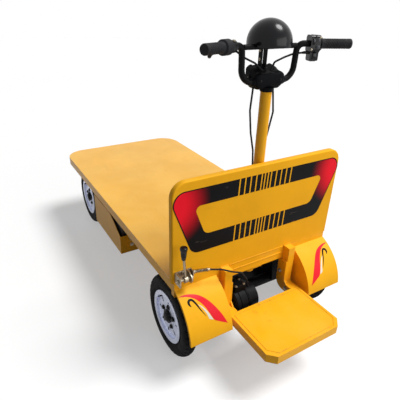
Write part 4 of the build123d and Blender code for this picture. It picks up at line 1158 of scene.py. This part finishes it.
class CART_OT_headlamp(bpy.types.Operator):
    """Builds the lamp's reflector, bulb, fluted lens, rim ring and stay bolts."""
    bl_idname = "cart.headlamp"
    bl_label = "Headlamp"

    def execute(self, context):
        low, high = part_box("headlamp_lens")
        back, front = (low.x - REAR_X) / MM, (high.x - REAR_X) / MM
        radius, floor = high.y / MM, low.z / MM
        axis_z = high.z / MM - radius
        drop = math.asin((axis_z - floor) / radius)
        outline = []
        for i in range(LAMP_ARC + 1):
            turn = -drop + (math.pi + 2 * drop) * i / LAMP_ARC
            outline.append(Vector((radius * math.cos(turn), axis_z + radius * math.sin(turn))))
        outline += [outline[LAMP_ARC].lerp(outline[0], i / LAMP_FLAT) for i in range(1, LAMP_FLAT)]
        heart = Vector((0.0, floor + 0.4 * (high.z / MM - floor)))

        def rim(share, x_of):
            points = [heart.lerp(p, share) for p in outline]
            return [at(x_of(p, share), p[0], p[1]) for p in points]

        def bowl(p, share):
            return back + 0.6 + 3.4 * share ** 2

        def dome(p, share):
            rise = 1 - (p[0] ** 2 + (p[1] - axis_z) ** 2) / radius ** 2
            flute = FLUTE * math.cos(p[0] / FLUTE_PITCH * math.tau) * (1 - share ** 8)
            return front - LENS_EDGE + LENS_RISE * max(rise, 0.0) + flute

        def flat(x):
            return lambda p, share: x

        bm = bmesh.new()
        shares = [0.02 + 0.97 * i / LAMP_RINGS for i in range(LAMP_RINGS + 1)]
        for face, rear, material in ((bowl, back + 0.1, 0), (dome, front - LENS_BACK, 2)):
            skin(bm, [rim(s, face) for s in shares] + [rim(s, flat(rear)) for s in shares[::-6]], material)
        skin(bm, [rim(s, flat(front - behind)) for s, behind in LAMP_RIM], 3, loop=True)
        lathe(bm, at(back, 0, heart[1]), (1, 0, 0), LAMP_BULB, 24, 1)
        finishes = ["bright_chrome", "print_white", "lens_clear", "black_plastic"]
        make("headlamp_optics", bm, finishes, "steering", ["headlamp_lens"])
        rows = [(at(87, side * 13.2, z), (0, side, 0)) for side in BOTH for z in (1200, 1230)]
        bolts("lamp_bolts", "steering", rows, scale=0.5)
        return {"FINISHED"}


# Hand lever, batteries and drive

KNOB_AT = (-40, 382, 546)
KNOB_NECK = [(0, 5.4), (0.6, 7.6), (3, 8.4), (12, 9.4)]
KNOB_RIB = ((0.0, 9.9), (1.0, 9.1), (2.0, 9.1), (3.0, 10.3))
KNOB_RIBS, RIB_FROM, RIB_PITCH, RIB_GROWTH = 5, 14, 4.4, 0.45
KNOB_HEAD = [(38, 12.6), (44, 14.2), (49, 14.4), (53, 12.8), (55.4, 8.6), (56, 0)]
SPRING_ENDS = (-15.4, 322, 455.4), (-23.4, 266, 450.4)
SPRING_TURNS, SPRING_STEPS, SPRING_R, SPRING_WIRE = 10, 160, 6.2, 1.2
SPRING_NUT = ((0, 6), (5, 6), (5.4, 8), (9.5, 8), (10, 5.4), (16, 5.2), (16.5, 4))
SPRING_CUP = ((0, 7.6), (2.2, 7.6), (2.6, 5.2), (12, 4.8), (12.6, 3.8))
PIVOT_NUT = ((-1, 8.6), (0.4, 8.6), (0.6, 7.4), (4.6, 7.4), (5.2, 5.4), (7.6, 5.2), (8.0, 0))
BATTERIES, BATTERY_GAP, POST_IN, POST_OFF = 4, 0.012, 34, 52
BATTERY_POST = ((0, 15), (3, 15), (3.5, 10), (14, 9), (15, 8), (15.2, 0))
MOTOR_X, MOTOR_Z, GEAR_X, GEAR_Z = -4, 215, 84, 180
CASE_OFF, VENTS, COVER_BOLTS, COVER_BOLT_RING = 40.0, 14, 6, 49
MOTOR_CAP = ((0, 30), (2.5, 29.4), (3.2, 26), (4.5, 24.5), (5.6, 18), (6, 0))
GLAND = ((0, 6.1), (6, 6.1), (6.4, 5.6), (9, 5.5), (12, 4.4), (13, 3.7))
MOTOR_BAND = ((0, 64), (0.6, 66.4), (5.4, 66.4), (6, 64))
GEAR_COVER = ((-0.5, 56), (4, 54), (6, 44), (9, 40), (10, 20), (10.2, 0))


class CART_OT_hand_lever(bpy.types.Operator):
    """Builds the hand lever's knob, return spring, cable adjuster and bolts."""
    bl_idname = "cart.hand_lever"
    bl_label = "Hand lever"

    def execute(self, context):
        bm = bmesh.new()
        ribs = [(RIB_FROM + RIB_PITCH * i + along, radius + RIB_GROWTH * i)
                for i in range(KNOB_RIBS) for along, radius in KNOB_RIB]
        lathe(bm, at(*KNOB_AT), UP, KNOB_NECK + ribs + KNOB_HEAD)
        make("lever_handle", bm, ["black_plastic"], "chassis", ["lever_knob"])
        bm = bmesh.new()
        start, end = (at(*place) for place in SPRING_ENDS)
        along = (end - start).normalized()
        side = along.orthogonal().normalized()
        other = along.cross(side)
        coil = []
        for i in range(SPRING_STEPS + 1):
            t = i / SPRING_STEPS
            turn = math.tau * SPRING_TURNS * t
            coil.append(start.lerp(end, t) + (side * math.cos(turn) + other * math.sin(turn)) * SPRING_R * MM)
        tube(bm, coil, [(SPRING_WIRE, SPRING_WIRE)] * len(coil), 8)
        lathe(bm, start + along * -8 * MM, along, SPRING_NUT, 6)
        lathe(bm, end - along * 3 * MM, along, SPRING_CUP, 20)
        for y, aim in ((341.5, -1), (399.6, 1)):
            lathe(bm, at(-28, y, 444), (0, aim, 0), PIVOT_NUT, 6)
        make("lever_fittings", bm, ["zinc_steel"], "chassis")
        rows = [(at(-5.2, y, z), (-1, 0, 0)) for y, z in ((336, 432), (366, 461), (385, 430))]
        bolts("lever_bracket_bolts", "chassis", rows, scale=0.6)
        return {"FINISHED"}


class CART_OT_batteries(bpy.types.Operator):
    """Adds lids, posts, straps and links to the batteries."""
    bl_idname = "cart.batteries"
    bl_label = "Batteries"

    def execute(self, context):
        low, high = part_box("battery_pack")
        x0, x1, top = low.x / MM, high.x / MM, high.z / MM
        pitch = (high.y - low.y + BATTERY_GAP) / BATTERIES / MM
        posts = x0 + POST_IN, x1 - POST_IN
        bm = bmesh.new()
        for i in range(BATTERIES):
            y = (i - 1.5) * pitch
            centre = Vector(((x0 + x1) / 2, y, 0)) * MM
            rounded_box(bm, centre + Vector((0, 0, top + 2.5)) * MM, (x1 - x0 - 5, pitch - 17, 9), 3)
            rounded_box(bm, centre + Vector((0, 0, top + 8)) * MM, (250, 36, 6), 2)
            for material, x in enumerate(posts, 1):
                lathe(bm, Vector((x, y + POST_OFF, top + 6)) * MM, UP, BATTERY_POST, 24, material)
        for i in range(BATTERIES - 1):
            near = Vector((posts[(i + 1) % 2], (i - 1.0) * pitch + POST_OFF, top + 19)) * MM
            rounded_box(bm, near - Vector((0, 0, 2)) * MM, (22, pitch + 20, 4), 1.5, material=3)
        finishes = ["battery_case", "print_black", "cap_red", "brass"]
        make("battery_tops", bm, finishes, "chassis")
        return {"FINISHED"}


class CART_OT_drive(bpy.types.Operator):
    """Adds covers, bands, vents, glands and fins to the drive, and dark rubber pieces on the apron which are
    painted shade, filling gaps where only shade lies under the deck.
    """
    bl_idname = "cart.drive"
    bl_label = "Drive"

    def execute(self, context):
        low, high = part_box("drive_motor")
        near, far = low.y / MM, high.y / MM
        half = (near + far) / 2
        case = near - CASE_OFF
        bm = bmesh.new()
        rounded_box(bm, Vector((49, 0, 0)) * MM, (20, 3, 6), 1.3, segments=2)
        repeated("motor_vents", bm, "black_paint", VENTS, at(MOTOR_X, far + 0.4, MOTOR_Z), axis=(0, 1, 0),
                 turn=math.tau / VENTS)
        bm = bmesh.new()
        lathe(bm, at(MOTOR_X, far - 0.5, MOTOR_Z), (0, 1, 0), MOTOR_CAP, 40)
        for step in (-13, 0, 13):
            lathe(bm, at(19, half + step, 290), (1, 0, 0), GLAND, 12)
        rounded_box(bm, at(MOTOR_X, half, 303), (44, 50, 4), 1.5)
        for y in (near + 6, far - 12):
            lathe(bm, at(MOTOR_X, y, MOTOR_Z), (0, 1, 0), MOTOR_BAND, 64)
        lathe(bm, at(GEAR_X, case, GEAR_Z), (0, -1, 0), GEAR_COVER, 48)
        # Painted shade: the dark rubber strip and the two flaps on the apron stand where the underside would
        # show only shade.
        rounded_box(bm, at(156, 0, 210), (9, 300, 14), 3, material=1)
        for side in BOTH:
            rounded_box(bm, at(157, side * 178, 184), (5, 48, 66), 2, material=1)
        make("drive_covers_and_shade_fill", bm, ["black_paint", "grip_rubber"], "chassis")
        rows = [(at(MOTOR_X + 17 * a, half + 20 * b, 305), UP) for a in (-1, 1) for b in (-1, 1)]
        for c, s in circle(COVER_BOLTS):
            place = at(GEAR_X + COVER_BOLT_RING * c, case - 3.5, GEAR_Z + COVER_BOLT_RING * s)
            rows.append((place, (0, -1, 0)))
        bolts("drive_bolts", "chassis", rows, scale=0.6)
        low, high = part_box("motor_controller")
        bm = bmesh.new()
        rounded_box(bm, Vector((0, 0, -5)) * MM, (126, 2.6, 13), 0.9, segments=2)
        start = Vector(((low.x + high.x) / 2, low.y + 0.009, low.z))
        repeated("controller_fins", bm, "alloy_case", 15, start, step=(0, 8, 0))
        return {"FINISHED"}


# Frame: bolts on both sides are their distance from the middle, the way they face and their (x, z) places

SIDE_BOLTS = ((145.3, -1, ((-3, 283), (-52, 213))),
              (116.2, 1, ((1323, 340), (1323, 296), (1363, 340), (1363, 296))),
              (203.2, 1, ((84, 262), (112, 262), (98, 330))))
HANGER_Y, HANGER_BOLTS, HANGER_PROUD = 0.320, (0.200, 0.236, 0.392), 0.0002
KINGPIN_X, KINGPIN_Y, KINGPIN_TOP = 1343, 215, {1: 321.2, -1: 234.2}
TIE_ROD_X, TIE_ROD_NUT_Z = 1253, 145.6
DRAG_LINK_ENDS, DRAG_LINK_NUT_Z = ((50, -60), (1343, 155)), 309.4
ARM_EDGES = (151.0, 188.0)
ARM_WELDS = ((-0.6, (352, 374, 396, 415)), (-83.4, (197, 208, 220, 231)))
LEVEL_WELDS = ((-0.6, 416.6, (152, 164, 176, 187)), (22.6, 416.6, (60, 160, 260, 360, 398)),
               (-0.4, 351.4, (209, 260, 330, 398)))
COLUMN_WELD_R, COLUMN_WELD_Z, COLUMN_STEPS = 27.4, 416.8, 24
WELD_SEED, WELD_SPACING = 7, 1.15
CREASES = ((383, 1.6), (413.5, 1.2))


class CART_OT_frame_bolts(bpy.types.Operator):
    """Sets the bolts of gussets, hangers, brackets and steering links."""
    bl_idname = "cart.frame_bolts"
    bl_label = "Frame bolts"

    def execute(self, context):
        tray_low, tray_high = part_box("tray_hangers")
        rows = []
        for side in BOTH:
            for y, aim, places in SIDE_BOLTS:
                rows += [(at(x, side * y, z), (0, aim * side, 0)) for x, z in places]
            for x, aim in ((tray_low.x, -1), (tray_high.x, 1)):
                x += aim * HANGER_PROUD
                rows += [(Vector((x, side * HANGER_Y, z)), (aim, 0, 0)) for z in HANGER_BOLTS]
        bolts("frame_bolts", "chassis", rows)
        for name, side in SIDES:
            rows = [(at(KINGPIN_X, side * KINGPIN_Y, KINGPIN_TOP[side]), UP)]
            bolts(f"{name}_kingpin_nut", f"{name}_knuckle", rows, scale=1.2)
        rows = [(at(TIE_ROD_X, side * KINGPIN_Y, TIE_ROD_NUT_Z), UP) for side in BOTH]
        bolts("tie_rod_nuts", "tie_rod", rows)
        rows = [(at(x, y, DRAG_LINK_NUT_Z), -UP) for x, y in DRAG_LINK_ENDS]
        bolts("drag_link_nuts", "drag_link", rows)
        return {"FINISHED"}


class CART_OT_welds(bpy.types.Operator):
    """Runs weld beads where arms, panel and column meet the sheet, and the creases along the skirt."""
    bl_idname = "cart.welds"
    bl_label = "Welds"

    def execute(self, context):
        lines = []
        for side in BOTH:
            for y in ARM_EDGES:
                lines += [[at(x, side * y, z) for z in heights] for x, heights in ARM_WELDS]
            lines += [[at(x, side * y, z) for y in places] for x, z, places in LEVEL_WELDS]
        ring = []
        for i in range(COLUMN_STEPS + 1):
            turn = math.tau * i / COLUMN_STEPS
            x, y = COLUMN_WELD_R * math.cos(turn), COLUMN_WELD_R * math.sin(turn)
            ring.append(at(COLUMN_X + x, y, COLUMN_WELD_Z))
        lines.append(ring)
        verts, edges = [], []
        for line in lines:
            edges += [(len(verts) + i, len(verts) + i + 1) for i in range(len(line) - 1)]
            verts += line
        mesh = bpy.data.meshes.new("weld_beads")
        mesh.from_pydata(verts, edges, [])
        obj = new_piece("weld_beads", mesh)
        size = context.scene.cart_fittings.weld
        grow(obj, "weld", bead=size, pitch=size * WELD_SPACING, seed=WELD_SEED,
             material=FINISH["frame_paint"])
        settle(obj, "chassis")
        bm = bmesh.new()
        for z, proud in CREASES:
            rounded_box(bm, at(-0.4, 0, z), (2 * proud, 288, 4.4), 1.0, segments=2)
        make("skirt_creases", bm, ["frame_paint"], "chassis")
        return {"FINISHED"}


class CART_PT_dresser(bpy.types.Panel):
    """Lists the cart's sizes, colours and steps."""
    bl_idname = "CART_PT_dresser"
    bl_label = "Platform cart"
    bl_space_type = "VIEW_3D"
    bl_region_type = "UI"
    bl_category = "Cart"

    def draw(self, context):
        for group, kind in GROUP_OF.items():
            for name in kind.__annotations__:
                self.layout.prop(getattr(context.scene, group), name)
        for step in STEPS:
            self.layout.operator(step.bl_idname)


GROUP_OF = {"cart_colours": CartColours, "cart_tread": CartTread, "cart_fittings": CartFittings,
            "cart_stage": CartStage}
STEPS = (CART_OT_stage, CART_OT_finishes, CART_OT_panel_print, CART_OT_fender_prints, CART_OT_tyres,
         CART_OT_wheel_trim, CART_OT_grips, CART_OT_bar_controls, CART_OT_crown, CART_OT_headlamp,
         CART_OT_hand_lever, CART_OT_batteries, CART_OT_drive, CART_OT_frame_bolts, CART_OT_welds)


def register():
    for kind in (*GROUP_OF.values(), *STEPS, CART_PT_dresser):
        bpy.utils.register_class(kind)
    for name, kind in GROUP_OF.items():
        setattr(bpy.types.Scene, name, PointerProperty(type=kind))


def unregister():
    for name in GROUP_OF:
        delattr(bpy.types.Scene, name)
    for kind in (CART_PT_dresser, *reversed(STEPS), *GROUP_OF.values()):
        bpy.utils.unregister_class(kind)


def main():
    register()
    for step in STEPS:
        getattr(bpy.ops.cart, step.bl_idname.split(".")[1])()


if __name__ == "__main__":
    main()
